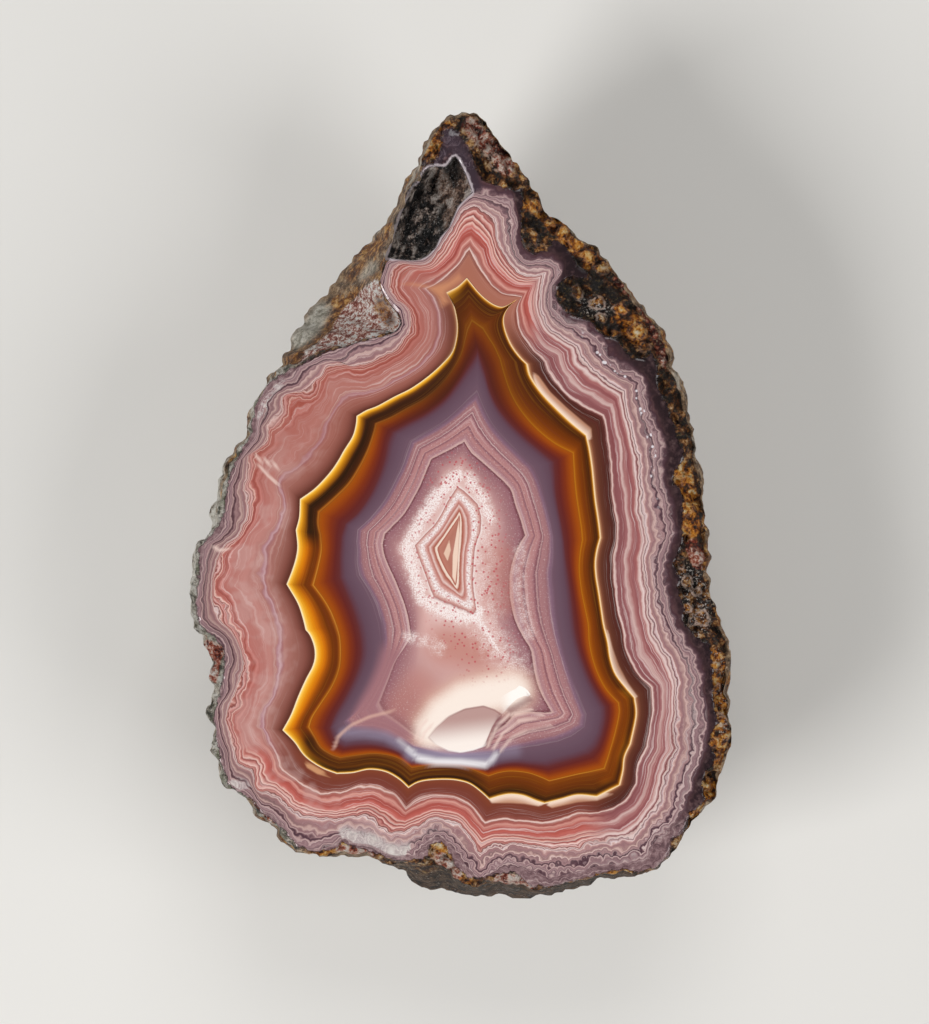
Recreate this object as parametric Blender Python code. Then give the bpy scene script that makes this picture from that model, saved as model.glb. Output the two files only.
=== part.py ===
"""Half of an agate nodule, sawn flat and polished on top, with its natural rind all round below.

The stone is one solid. It lies on a small flat spot of its rounded back, polished face up, and its
pointed end is at +Y. Outlines are drawn on the cut face in millimetres, clockwise from the tip, as
stretches between rays that run out from the heart of the stone; every outline crosses the same rays.
"""

import math

import bmesh
import bpy
from mathutils import Vector, noise

MM = 0.001

# Driving dimensions, in millimetres
THICKNESS = 30.0
CENTRE_SHIFT = (0.1, 0.05)
COLUMN_SPACING = 1.72
CURVE_STEPS = 12

# The flat spot that the stone lies on; each wave of its edge is a count, a height and a turn
SPOT_CENTRE = (0.5, -6.5)
SPOT_RADII = (11.5, 15.0)
SPOT_WAVES = ((3, 0.07, 0.6), (5, 0.04, 2.0))

# The broken hollow beside the tip, with a lumpy floor
HOLLOW_DEPTH = 3.4
HOLLOW_WALL = 1.3
HOLLOW_LUMP_SIZE, HOLLOW_LUMP_HEIGHT = 2.6, 1.7
HOLLOW_RAY = 20

# The pitted crust between the polished bands and the edge of the cut; starts and runs are parts of
# a ring
CRUST_DEPTH = 0.8
CRUST_START, CRUST_RUN = 2.2, 0.5
PIT_SIZE, PIT_MEAN, PIT_SPREAD = 3.0, 0.5, 0.9
EDGE_DROP = 0.35
EDGE_START, EDGE_RUN = 2.6, 0.4

# The rind: lumps, smaller lumps and dimples, as size across and height or depth
LUMP_SIZE, LUMP_HEIGHT = 11.0, 1.9
KNOB_SIZE, KNOB_HEIGHT = 4.4, 1.0
DIMPLE_SIZE, DIMPLE_DEPTH, DIMPLE_SPREAD = 6.5, 1.3, 0.55
ROUGH_FROM = 4.0

# How much of that roughness there is at the shoulder and at the girdle, and the part of the belly
# over which it grows to all of it
SHOULDER_ROUGH, GIRDLE_ROUGH, BELLY_ROUGH_RUN = 0.25, 0.5, 0.3

# The rind is pushed out from a level axis: half its length, and its height as a part of the stone's
AXIS_HALF_LENGTH, AXIS_HEIGHT = 26.0, 0.6

# The belly's curve: how far in and how high its upper handle lies, and how far out its lower one
BELLY_TUCK, BELLY_HEIGHT, BELLY_UNDER = 0.03, 0.48, 0.5

# Heights in the noise at which the flat patterns are read, and the shift of the smaller lumps
HOLLOW_LEVEL, PIT_LEVEL, KNOB_LEVEL = 3.0, 7.0, 40.0

# Rings of points, from the bands outwards over the edge and down the rind
FACE_RINGS = (0.0, 1.0, 1.12, 1.32, 1.5, 1.68, 1.88, 2.0, 2.35, 2.7, 3.0)
SHOULDER_RINGS = 3
FLANK_RINGS = 4
BELLY_RINGS = 14

STONE_COLOUR = (0.47, 0.25, 0.22, 1.0)
STONE_ROUGHNESS = 0.35
SHARP_ANGLE = math.radians(35)

# Where the pink bands end and the lavender ones begin
LAVENDER = [
    [(1.6, 36.6), (3.0, 35.6), (4.1, 34.8), (4.3, 32.2), (5.5, 29.7), (7.6, 28.3)],
    [(9.8, 28.2), (9.7, 25.6), (10.5, 22.6), (12.4, 20.6)],
    [(14.3, 19.3), (16.0, 16.6), (18.2, 15.2)],
    [(19.9, 14.4), (20.9, 10.4), (21.7, 6.0), (22.1, 2.0), (22.5, -1.2)],
    [(22.8, -3.6), (22.4, -7.2), (23.1, -12.0), (24.6, -16.0)],
    [(27.0, -20.6), (26.9, -25.0)],
    [(26.9, -29.2), (25.4, -32.4), (24.6, -35.8)],
    [(22.9, -38.2)],
    [(20.7, -40.2), (16.4, -40.5), (13.0, -41.2)],
    [(10.0, -41.4), (6.6, -40.5)],
    [(2.4, -41.4), (0.6, -39.1), (-2.0, -37.8), (-4.4, -38.5)],
    [(-6.4, -39.5), (-9.6, -38.3), (-12.6, -37.3), (-15.8, -38.0)],
    [(-18.0, -38.2), (-21.2, -35.8), (-24.4, -33.6), (-26.6, -30.3)],
    [(-27.6, -26.3), (-26.8, -22.8), (-25.8, -18.0)],
    [(-26.2, -15.2), (-28.0, -12.4)],
    [(-29.3, -9.2), (-28.9, -6.0)],
    [(-26.6, -3.4), (-25.6, 0.2), (-26.0, 4.2)],
    [(-25.0, 6.4), (-22.9, 8.8), (-21.4, 11.5), (-18.8, 13.6)],
    [(-16.0, 15.8), (-13.4, 16.3), (-9.0, 18.9), (-6.4, 21.0), (-6.4, 23.7)],
    [(-8.7, 26.9)],
    [(-7.8, 29.0), (-4.6, 29.2), (-2.6, 31.4), (-1.0, 33.9), (0.2, 35.9)],
    [(1.1, 36.7)],
]

# The near side of the hollow; beyond it, the last crinkled band
NEAR_HOLLOW = [
    [(2.2, 37.7), (5.0, 36.6), (5.9, 34.2), (6.0, 31.4), (7.8, 29.4)],
    [(10.9, 29.2), (10.6, 27.2), (10.4, 24.2), (12.2, 21.6)],
    [(15.2, 20.0), (17.0, 17.8), (19.2, 16.3)],
    [(21.0, 15.4), (22.4, 11.2), (23.4, 7.4), (23.5, 3.8), (23.9, -0.4)],
    [(24.6, -3.4), (23.6, -6.6), (24.2, -11.4), (25.8, -15.6)],
    [(28.1, -20.0), (28.2, -25.0)],
    [(28.1, -29.6), (26.5, -33.2), (25.5, -36.3)],
    [(23.1, -38.8)],
    [(21.7, -41.4), (18.0, -41.4), (14.6, -42.0)],
    [(11.6, -42.9), (7.0, -41.6)],
    [(2.4, -43.3), (0.5, -40.4), (-2.3, -38.6), (-4.6, -39.6)],
    [(-6.4, -40.8), (-9.8, -39.6), (-13.2, -38.4), (-16.0, -39.3)],
    [(-17.9, -39.5), (-21.4, -36.9), (-25.0, -33.4), (-27.2, -30.2)],
    [(-28.1, -26.4), (-27.2, -21.6), (-26.5, -17.0)],
    [(-27.3, -14.8), (-29.3, -12.0)],
    [(-29.9, -9.4), (-29.4, -6.0)],
    [(-26.9, -3.2), (-26.1, 0.4), (-26.4, 4.3)],
    [(-25.4, 6.3), (-23.2, 9.2), (-22.2, 12.0), (-19.4, 14.7)],
    [(-16.4, 17.0), (-13.5, 17.6), (-9.8, 19.2), (-6.8, 21.2), (-6.8, 24.0)],
    [(-9.3, 27.5)],
    [(-9.0, 29.9), (-5.6, 29.6), (-3.3, 31.0), (-1.6, 33.8), (0.1, 36.5)],
    [(1.6, 37.7)],
]

# The far side of the hollow; beyond it, the start of the dark outer layer
FAR_HOLLOW = [
    [(2.4, 38.0), (5.6, 37.0), (6.4, 34.6), (6.5, 31.8), (8.2, 29.9)],
    [(11.3, 29.7), (11.3, 27.2), (10.9, 24.4), (12.8, 22.1)],
    [(15.8, 20.4), (17.6, 18.3), (19.8, 16.8)],
    [(21.6, 15.9), (23.0, 11.4), (24.1, 7.4), (24.1, 3.8), (24.5, -0.4)],
    [(25.1, -3.4), (24.1, -6.8), (24.7, -11.4), (26.3, -15.3)],
    [(28.7, -20.0), (28.8, -25.0)],
    [(28.6, -29.6), (27.0, -33.2), (26.0, -36.4)],
    [(23.6, -39.0)],
    [(22.2, -41.9), (18.0, -41.9), (14.6, -42.5)],
    [(11.8, -43.4), (7.0, -42.1)],
    [(2.4, -43.8), (0.2, -40.8), (-2.4, -39.1), (-4.8, -40.2)],
    [(-6.4, -41.4), (-9.8, -40.2), (-13.2, -39.0), (-16.0, -39.9)],
    [(-17.8, -40.2), (-21.6, -37.4), (-25.3, -33.9), (-27.6, -30.5)],
    [(-28.5, -26.5), (-27.6, -21.6), (-27.0, -17.0)],
    [(-27.9, -14.8), (-29.9, -12.0)],
    [(-30.4, -9.4), (-29.8, -6.0)],
    [(-27.2, -3.0), (-26.5, 0.6), (-26.8, 4.4)],
    [(-25.8, 6.3), (-23.7, 9.3), (-22.7, 12.3), (-19.8, 15.2)],
    [(-16.8, 17.6), (-13.6, 18.2), (-10.0, 19.7), (-7.1, 21.3), (-7.1, 24.1)],
    [(-9.6, 27.6)],
    [(-9.0, 30.1), (-8.0, 32.8), (-6.7, 36.3), (-5.0, 39.1), (-3.6, 41.1), (-1.9, 41.5),
     (-0.9, 42.6), (0.1, 41.4), (1.1, 39.0)],
    [(1.7, 38.0)],
]

# The edge of the saw cut
RIM = [
    [(0.2, 46.9), (2.4, 46.2), (3.6, 44.4), (5.3, 42.0), (7.0, 39.9), (8.4, 37.6), (10.4, 35.2),
     (13.0, 32.8), (15.6, 30.7)],
    [(16.6, 29.4), (18.7, 26.5), (20.9, 23.6), (23.0, 21.0)],
    [(23.6, 19.8), (24.6, 16.8)],
    [(25.0, 15.2), (26.2, 11.6), (27.2, 8.0), (27.6, 4.4), (28.3, 1.2)],
    [(28.5, -2.8), (28.6, -6.4), (29.0, -9.2), (29.8, -13.0), (30.9, -16.4)],
    [(31.1, -20.4), (31.2, -24.4), (31.6, -27.8)],
    [(31.2, -29.4), (30.0, -32.0), (29.2, -35.2), (27.0, -38.4)],
    [(26.0, -40.0), (24.9, -41.6)],
    [(23.2, -43.1), (21.0, -43.7), (17.0, -44.0), (15.0, -44.6)],
    [(12.6, -45.2), (8.4, -45.3), (4.6, -44.8)],
    [(2.4, -45.0), (-0.8, -43.9), (-4.2, -42.6)],
    [(-6.0, -42.6), (-8.2, -42.7), (-11.6, -41.8), (-15.4, -41.6)],
    [(-17.2, -41.9), (-20.4, -40.2), (-23.0, -37.5), (-25.2, -35.1), (-28.1, -33.2), (-29.3, -30.2)],
    [(-29.8, -26.8), (-30.3, -24.6), (-29.5, -21.9), (-30.2, -18.6)],
    [(-30.8, -15.0), (-32.2, -13.4), (-32.4, -11.0)],
    [(-32.2, -9.2), (-31.8, -5.8), (-31.0, -3.4)],
    [(-29.2, -1.6), (-28.8, 1.8), (-28.1, 4.6)],
    [(-26.8, 6.6), (-25.6, 8.6), (-25.3, 11.0), (-24.2, 14.0), (-21.4, 16.4)],
    [(-18.6, 18.2), (-14.6, 19.9), (-10.8, 20.7), (-8.3, 21.4), (-7.7, 23.2), (-9.0, 25.6)],
    [(-10.3, 27.8)],
    [(-9.6, 29.9), (-8.6, 32.8), (-7.3, 36.3), (-5.9, 38.8), (-4.9, 40.4), (-4.2, 42.5), (-3.1, 45.3)],
    [(-1.2, 46.7)],
]

# The widest outline of the stone, seen from above
GIRDLE = [
    [(0.6, 47.6), (3.2, 46.3), (5.0, 43.4), (7.2, 40.8), (9.0, 38.2), (11.6, 35.0), (15.2, 32.0)],
    [(17.8, 29.2), (20.8, 25.0), (23.8, 21.0)],
    [(24.6, 19.6), (25.3, 17.4)],
    [(25.9, 15.2), (27.4, 10.2), (28.3, 4.8), (29.2, -0.4)],
    [(29.4, -3.0), (29.9, -8.8), (31.4, -15.0)],
    [(32.1, -21.0), (32.5, -27.0)],
    [(32.1, -29.4), (30.6, -33.6), (28.2, -38.0)],
    [(26.8, -40.2), (25.4, -42.2)],
    [(23.4, -43.7), (18.0, -44.7)],
    [(12.8, -46.2), (8.0, -47.5)],
    [(3.0, -47.1), (-1.6, -46.2)],
    [(-5.8, -45.5), (-8.2, -43.6), (-12.6, -42.4)],
    [(-17.4, -42.3), (-21.8, -39.4), (-26.2, -35.2), (-29.4, -31.0)],
    [(-30.2, -27.0), (-30.4, -22.2), (-30.9, -17.0)],
    [(-31.4, -15.0), (-32.7, -12.2)],
    [(-32.6, -9.4), (-32.0, -4.2)],
    [(-29.8, -1.6), (-28.9, 3.2)],
    [(-27.2, 6.8), (-26.0, 10.2), (-24.6, 14.4), (-22.8, 17.0)],
    [(-21.4, 19.2), (-18.6, 22.6), (-16.0, 26.8)],
    [(-15.0, 28.6)],
    [(-12.6, 31.6), (-10.0, 33.8), (-7.9, 36.0), (-6.4, 38.8), (-5.3, 41.0), (-4.0, 44.4)],
    [(-1.8, 46.9)],
]

# At each ray: how far the girdle lies below the cut, how far out the shoulder lies on the way to the
# girdle, and how much of that drop it has
GIRDLE_DROP = [3.0] * 9 + [6.5, 9.0, 7.5, 3.5, 3.0, 3.0, 3.0, 3.0, 3.5, 8.0, 13.0, 12.0, 4.0]
SHOULDER_REACH = [0.5] * 9 + [0.3, 0.2, 0.25] + [0.5] * 6 + [0.6, 0.45, 0.2, 0.45]
SHOULDER_DROP = [0.3] * 9 + [0.35, 0.4, 0.35] + [0.3] * 6 + [0.35, 0.3, 0.2, 0.3]


def smooth(value):
    """0 below 0 and 1 above 1, with a gentle start and end."""
    share = min(max(value, 0.0), 1.0)
    return share * share * (3.0 - 2.0 * share)


def curve_through(points):
    """Points along a smooth curve through the given ones."""
    ends = [2 * points[0] - points[1], *points, 2 * points[-1] - points[-2]]
    found = []
    for before, start, end, after in zip(ends, ends[1:], ends[2:], ends[3:]):
        for step in range(CURVE_STEPS):
            t = step / CURVE_STEPS
            found.append(
                0.5 * (2 * start + (end - before) * t
                       + (2 * before - 5 * start + 4 * end - after) * t ** 2
                       + (3 * start - before - 3 * end + after) * t ** 3)
            )
    return [*found, points[-1]]


def evenly(points, count):
    """The curve's start and the points at equal lengths along it, without its end."""
    lengths = [0.0]
    for a, b in zip(points, points[1:]):
        lengths.append(lengths[-1] + (b - a).length)
    found, at = [], 0
    for number in range(count):
        wanted = lengths[-1] * number / count
        while lengths[at + 1] < wanted:
            at += 1
        share = (wanted - lengths[at]) / (lengths[at + 1] - lengths[at])
        found.append(points[at].lerp(points[at + 1], share))
    return found


def stretches_of(outline):
    """Each stretch of an outline as a fine curve from its ray to the next."""
    found = []
    for stretch, following in zip(outline, outline[1:] + outline[:1]):
        points = [Vector(point) for point in [*stretch, following[0]]]
        found.append(curve_through(points))
    return found


def length_of(points):
    return sum((b - a).length for a, b in zip(points, points[1:]))


def columns_of(outline, counts):
    """One point of the outline for each column of the mesh."""
    found = []
    for points, count in zip(stretches_of(outline), counts):
        found += evenly(points, count)
    return found


def along_rays(values, counts):
    """A value for each column, turning smoothly from each ray's value to the next one's."""
    found = []
    for value, following, count in zip(values, values[1:] + values[:1], counts):
        found += [value + (following - value) * smooth(n / count) for n in range(count)]
    return found


def distance_to(point, outline):
    """The distance from a point to a closed outline."""
    least = math.inf
    for a, b in zip(outline, outline[1:] + outline[:1]):
        way = b - a
        share = min(max((point - a).dot(way) / way.length_squared, 0.0), 1.0)
        least = min(least, (point - a - way * share).length)
    return least


def bumps(x, y, z, size):
    """Smooth noise from about -1 to 1, with features of the given size."""
    return noise.noise(Vector((x, y, z)) / size, noise_basis="PERLIN_ORIGINAL")


def dimples(x, y, z):
    """1 at the bottom of a dimple and 0 between dimples."""
    nearest = noise.voronoi(Vector((x, y, z)) / DIMPLE_SIZE)[0][0]
    return 1.0 - smooth(nearest / DIMPLE_SPREAD)


def face_height(place, ring, in_hollow, hollow):
    """The height of a point on the cut: flat on the bands, pitted in the crust, deep in the hollow."""
    x, y = place
    if 1.0 < ring < 2.0 and in_hollow:
        wall = smooth(distance_to(place, hollow) / HOLLOW_WALL)
        floor = HOLLOW_DEPTH + HOLLOW_LUMP_HEIGHT * bumps(x, y, HOLLOW_LEVEL, HOLLOW_LUMP_SIZE)
        return THICKNESS - wall * floor
    if ring > 2.0:
        pitted = min(max(PIT_MEAN + PIT_SPREAD * bumps(x, y, PIT_LEVEL, PIT_SIZE), 0.0), 1.0)
        depth = CRUST_DEPTH * pitted * smooth((ring - CRUST_START) / CRUST_RUN)
        return THICKNESS - depth - EDGE_DROP * smooth((ring - EDGE_START) / EDGE_RUN)
    return THICKNESS


def roughened(point, weight):
    """A point of the rind moved out or in by the lumps and dimples there."""
    x, y, z = point
    along = min(max(y, -AXIS_HALF_LENGTH), AXIS_HALF_LENGTH)
    axis = Vector((SPOT_CENTRE[0], along, AXIS_HEIGHT * THICKNESS))
    out = (point - axis).normalized()
    amount = LUMP_HEIGHT * bumps(x, y, z, LUMP_SIZE)
    amount += KNOB_HEIGHT * bumps(x, y, z + KNOB_LEVEL, KNOB_SIZE)
    amount -= DIMPLE_DEPTH * dimples(x, y, z)
    return point + out * amount * weight


def bezier(a, b, c, d, t):
    s = 1.0 - t
    return a * s ** 3 + b * 3 * s * s * t + c * 3 * s * t * t + d * t ** 3


def spot_point(girdle):
    """The edge of the flat spot under a point of the girdle."""
    centre = Vector(SPOT_CENTRE)
    way = girdle - centre
    turn = math.atan2(way.y / SPOT_RADII[1], way.x / SPOT_RADII[0])
    swell = 1.0 + sum(height * math.sin(n * turn + start) for n, height, start in SPOT_WAVES)
    return centre + Vector((SPOT_RADII[0] * math.cos(turn), SPOT_RADII[1] * math.sin(turn))) * swell


def rind_column(rim, girdle, drop, reach, share):
    """The points of one column below the rim, ending on the flat spot."""
    found = []
    shoulder = rim.xy.lerp(girdle, reach).to_3d()
    shoulder.z = THICKNESS - drop * share
    widest = girdle.to_3d()
    widest.z = THICKNESS - drop
    spot = spot_point(girdle).to_3d()
    belly = [
        widest,
        Vector((*girdle.lerp(spot.xy, BELLY_TUCK), BELLY_HEIGHT * widest.z)),
        Vector((*spot.xy.lerp(girdle, BELLY_UNDER), 0.0)),
        spot,
    ]
    for ring in range(1, SHOULDER_RINGS + 1):
        t = ring / SHOULDER_RINGS
        found.append(roughened(rim.lerp(shoulder, t), SHOULDER_ROUGH * t))
    for ring in range(1, FLANK_RINGS + 1):
        t = ring / FLANK_RINGS
        weight = SHOULDER_ROUGH + (GIRDLE_ROUGH - SHOULDER_ROUGH) * smooth(t)
        found.append(roughened(shoulder.lerp(widest, t), weight))
    for ring in range(1, BELLY_RINGS):
        t = ring / BELLY_RINGS
        place = bezier(*belly, t)
        weight = GIRDLE_ROUGH + (1.0 - GIRDLE_ROUGH) * smooth(t / BELLY_ROUGH_RUN)
        found.append(roughened(place, weight * smooth(place.z / ROUGH_FROM)))
    return [*found, spot]


def rings_of_points():
    """Every ring of points of the stone, from the bands over the rim and down to the flat spot."""
    outlines = [LAVENDER, NEAR_HOLLOW, FAR_HOLLOW, RIM]
    rim_stretches = zip(stretches_of(RIM), stretches_of(FAR_HOLLOW))
    counts = [
        max(2, round(max(length_of(rim), length_of(far)) / COLUMN_SPACING))
        for rim, far in rim_stretches
    ]
    near, far = stretches_of(NEAR_HOLLOW)[HOLLOW_RAY], stretches_of(FAR_HOLLOW)[HOLLOW_RAY]
    hollow = [*near[:-1:4], *reversed(far[1::4])]
    first = sum(counts[:HOLLOW_RAY])
    hollow_columns = range(first, first + counts[HOLLOW_RAY])
    columns = [columns_of(outline, counts) for outline in outlines]
    rings = []
    for ring in FACE_RINGS:
        inner = min(int(ring), 2)
        points = []
        for number, (a, b) in enumerate(zip(columns[inner], columns[inner + 1])):
            place = a.lerp(b, ring - inner)
            height = face_height(place, ring, number in hollow_columns, hollow)
            points.append(Vector((*place, height)))
        rings.append(points)
    girdle = columns_of(GIRDLE, counts)
    drops = along_rays(GIRDLE_DROP, counts)
    reaches = along_rays(SHOULDER_REACH, counts)
    shares = along_rays(SHOULDER_DROP, counts)
    below = [rind_column(*column) for column in zip(rings[-1], girdle, drops, reaches, shares)]
    return rings + [list(ring) for ring in zip(*below)]


def build_stone():
    """The whole stone as one closed mesh of rings, capped by the polished face and the flat spot."""
    shift = Vector((*CENTRE_SHIFT, 0.0))
    shape = bmesh.new()
    rings = [[shape.verts.new((p + shift) * MM) for p in ring] for ring in rings_of_points()]
    for upper, lower in zip(rings, rings[1:]):
        for a, b, c, d in zip(upper, upper[1:] + upper[:1], lower[1:] + lower[:1], lower):
            shape.faces.new((a, b, c, d))
    shape.faces.new(reversed(rings[0]))
    shape.faces.new(rings[-1])
    bmesh.ops.recalc_face_normals(shape, faces=shape.faces)
    mesh = bpy.data.meshes.new("agate")
    shape.to_mesh(mesh)
    shape.free()
    return bpy.data.objects.new("agate", mesh)


def stone_material():
    material = bpy.data.materials.new("agate")
    material.use_nodes = True
    shader = material.node_tree.nodes["Principled BSDF"]
    shader.inputs["Base Color"].default_value = STONE_COLOUR
    shader.inputs["Roughness"].default_value = STONE_ROUGHNESS
    shader.inputs["Metallic"].default_value = 0.0
    return material


def main():
    for item in list(bpy.data.objects):
        bpy.data.objects.remove(item)
    stone = build_stone()
    stone.data.materials.append(stone_material())
    stone.data.shade_smooth()
    stone.data.set_sharp_from_angle(angle=SHARP_ANGLE)
    bpy.context.scene.collection.objects.link(stone)


main()
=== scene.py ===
import math

import bpy
import numpy as np
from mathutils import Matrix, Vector, noise


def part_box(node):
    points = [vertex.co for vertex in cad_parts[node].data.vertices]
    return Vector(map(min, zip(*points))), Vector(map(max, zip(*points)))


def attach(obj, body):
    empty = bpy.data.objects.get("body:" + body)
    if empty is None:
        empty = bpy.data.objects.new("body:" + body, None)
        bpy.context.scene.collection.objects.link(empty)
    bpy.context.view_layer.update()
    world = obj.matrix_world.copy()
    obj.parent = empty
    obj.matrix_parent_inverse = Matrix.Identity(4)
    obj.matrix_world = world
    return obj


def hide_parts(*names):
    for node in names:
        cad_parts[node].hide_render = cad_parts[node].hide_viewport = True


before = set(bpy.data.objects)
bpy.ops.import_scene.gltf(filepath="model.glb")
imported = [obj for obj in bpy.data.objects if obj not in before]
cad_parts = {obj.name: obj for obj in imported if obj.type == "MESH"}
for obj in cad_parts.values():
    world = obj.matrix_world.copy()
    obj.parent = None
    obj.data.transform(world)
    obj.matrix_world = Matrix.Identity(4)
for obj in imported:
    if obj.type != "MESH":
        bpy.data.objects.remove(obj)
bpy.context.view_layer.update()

mm = 0.001
lowCorner, highCorner = (np.array(corner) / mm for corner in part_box("agate"))
cutHeight = highCorner[2]      # the polished face
print("frame loaded, polished face at", round(float(cutHeight), 2), "mm")


# Outlines on the cut face, in millimetres from the middle of the stone, clockwise from the tip.
# Each has twenty stretches, from one ray to the next, and every outline crosses the same rays.
# Between two outlines the bands follow both, and each place's band number says how far out it
# lies: -1 at the spindle, 0 at the eye, 1 at the eye's rim, and so on to 11 at the stone's rim.

spindleOutline = [
    [(-0.45, -1.7)], [(-0.43, -1.75)], [(-0.41, -1.8)], [(-0.42, -1.9), (-0.5, -2.6)],
    [(-0.6, -3.4), (-0.7, -5.2)], [(-0.84, -7.4)], [(-0.85, -7.5)], [(-0.86, -7.6)],
    [(-0.86, -7.7)], [(-0.9, -7.8)], [(-0.94, -7.75)], [(-0.98, -7.7)], [(-1.05, -7.5)],
    [(-1.2, -7.2)], [(-1.35, -6.8), (-1.6, -6.2)], [(-1.8, -5.6)], [(-2.0, -5.0)],
    [(-1.95, -4.7), (-1.5, -4.0)], [(-0.9, -2.9)], [(-0.5, -2.1)],
]

eyeOutline = [
    [(-0.2, -0.7)], [(-0.12, -0.9)], [(-0.08, -1.3)], [(-0.1, -2.0), (-0.15, -3.0)],
    [(-0.22, -4.4), (-0.32, -6.0)], [(-0.42, -8.4)], [(-0.46, -8.7)], [(-0.5, -9.0)],
    [(-0.54, -9.2)], [(-0.64, -9.4)], [(-0.8, -9.2)], [(-1.0, -8.8)], [(-1.3, -8.3)],
    [(-1.6, -7.9)], [(-2.0, -7.2), (-2.4, -6.4)], [(-2.7, -5.7)], [(-2.9, -5.0)],
    [(-2.9, -4.7), (-2.2, -3.7)], [(-1.1, -2.1)], [(-0.4, -1.1)],
]

eyeRimOutline = [
    [(-0.4, 2.6)], [(0.3, 2.1)], [(0.9, 1.6)], [(2.0, 0.5), (2.4, -1.2)],
    [(2.3, -2.8), (1.7, -4.5), (1.5, -6.5), (1.4, -9.0)],
    [(1.7, -11.5)], [(1.8, -12.0)], [(1.7, -12.4)], [(1.5, -12.6)], [(1.1, -12.5)],
    [(0.5, -12.2)], [(-0.8, -11.6)], [(-2.2, -11.1)], [(-3.2, -10.6)], [(-3.7, -9.5)],
    [(-4.3, -7.8)], [(-5.3, -5.2)], [(-5.5, -4.4), (-4.2, -3.0), (-3.2, -2.0), (-2.4, -0.8)],
    [(-1.6, 0.8)], [(-0.7, 2.2)],
]

sugarOutline = [
    [(0.2, 6.0)], [(0.7, 5.4)], [(1.3, 4.7), (2.4, 3.2)], [(3.6, 1.7), (4.4, 0.0), (4.8, -1.5)],
    [(4.9, -3.5), (4.7, -6.0), (4.4, -8.5), (4.2, -11.0), (4.5, -13.5), (5.3, -16.0), (6.2, -18.5),
     (6.9, -20.5)],
    [(7.0, -21.8)], [(6.5, -22.2)], [(6.0, -22.5)], [(5.4, -22.7)], [(4.5, -22.9)],
    [(3.0, -23.2), (0.5, -23.7)], [(-2.5, -24.0), (-4.0, -22.8)], [(-5.0, -21.0)],
    [(-5.5, -19.5), (-5.4, -16.5)], [(-5.2, -14.0), (-5.3, -12.0)], [(-5.8, -9.5), (-6.8, -7.2)],
    [(-7.5, -5.5)], [(-7.6, -4.6), (-6.4, -3.0), (-5.0, -1.0), (-3.7, 1.0), (-2.7, 3.0)],
    [(-2.2, 4.7)], [(-0.3, 5.8)],
]

innerLineOutline = [
    [(0.4, 8.1)], [(0.8, 7.4)], [(1.3, 6.7), (2.5, 5.7), (4.0, 4.4)],
    [(5.3, 3.2), (6.1, 2.2), (6.6, 0.5), (7.2, -1.2)],
    [(7.8, -3.2), (7.0, -4.5), (6.2, -6.5), (5.9, -8.5), (6.0, -11.0), (6.6, -13.5), (7.6, -15.5),
     (8.5, -17.0), (8.9, -19.5), (9.6, -22.0)],
    [(11.0, -24.5)], [(10.2, -24.6)], [(9.0, -24.5)], [(7.8, -24.5)], [(6.5, -24.7), (5.4, -26.0)],
    [(4.0, -27.0), (0.0, -28.0)], [(-4.5, -27.8), (-6.0, -27.0), (-8.0, -25.5)], [(-9.5, -24.5)],
    [(-10.0, -23.5), (-9.0, -21.0), (-8.0, -18.5), (-7.0, -17.0)],
    [(-6.0, -15.5), (-6.4, -13.0), (-7.0, -11.0)], [(-8.0, -8.5), (-8.8, -6.8), (-9.3, -5.5)],
    [(-9.5, -4.3)],
    [(-9.2, -3.0), (-8.0, -1.8), (-6.8, -0.5), (-5.8, 1.2), (-5.0, 2.7), (-4.3, 4.4)],
    [(-3.6, 6.0), (-2.4, 6.6), (-1.2, 7.2), (-0.3, 7.7)], [(0.1, 7.9)],
]

mauveOutline = [
    [(1.9, 13.5)], [(2.2, 12.8)], [(2.6, 11.8), (3.6, 10.0), (5.0, 8.3), (6.7, 6.6)],
    [(8.4, 4.9), (9.2, 3.3), (10.0, 0.8), (10.6, -1.5)],
    [(11.0, -3.5), (11.0, -6.0), (10.8, -8.0), (11.0, -10.0), (11.2, -12.5), (11.6, -15.0),
     (12.2, -17.5), (13.0, -20.0), (13.9, -22.5)],
    [(14.8, -24.8)], [(14.6, -26.1)], [(13.0, -27.1)], [(11.5, -27.7)],
    [(9.0, -28.2), (7.5, -28.5), (6.0, -28.8)],
    [(3.4, -29.3), (1.5, -29.5), (-1.0, -29.6), (-3.0, -29.3)],
    [(-5.8, -28.6), (-7.5, -27.4), (-9.0, -26.6), (-10.5, -26.2), (-12.0, -26.2)],
    [(-13.2, -26.4)],
    [(-13.9, -25.5), (-12.6, -24.3), (-11.0, -22.0), (-10.0, -20.0), (-9.3, -18.0), (-9.1, -16.0)],
    [(-9.3, -13.8), (-10.0, -11.5), (-10.9, -9.7)], [(-12.0, -8.0), (-12.3, -6.5), (-12.3, -5.2)],
    [(-12.4, -4.0)],
    [(-12.3, -2.6), (-10.6, -1.0), (-9.0, 1.0), (-7.9, 3.0), (-6.9, 5.0), (-6.2, 7.0)],
    [(-5.8, 8.0), (-4.0, 9.0), (-2.3, 10.0), (-0.5, 11.4), (0.8, 12.6)], [(1.3, 13.0)],
]

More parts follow.
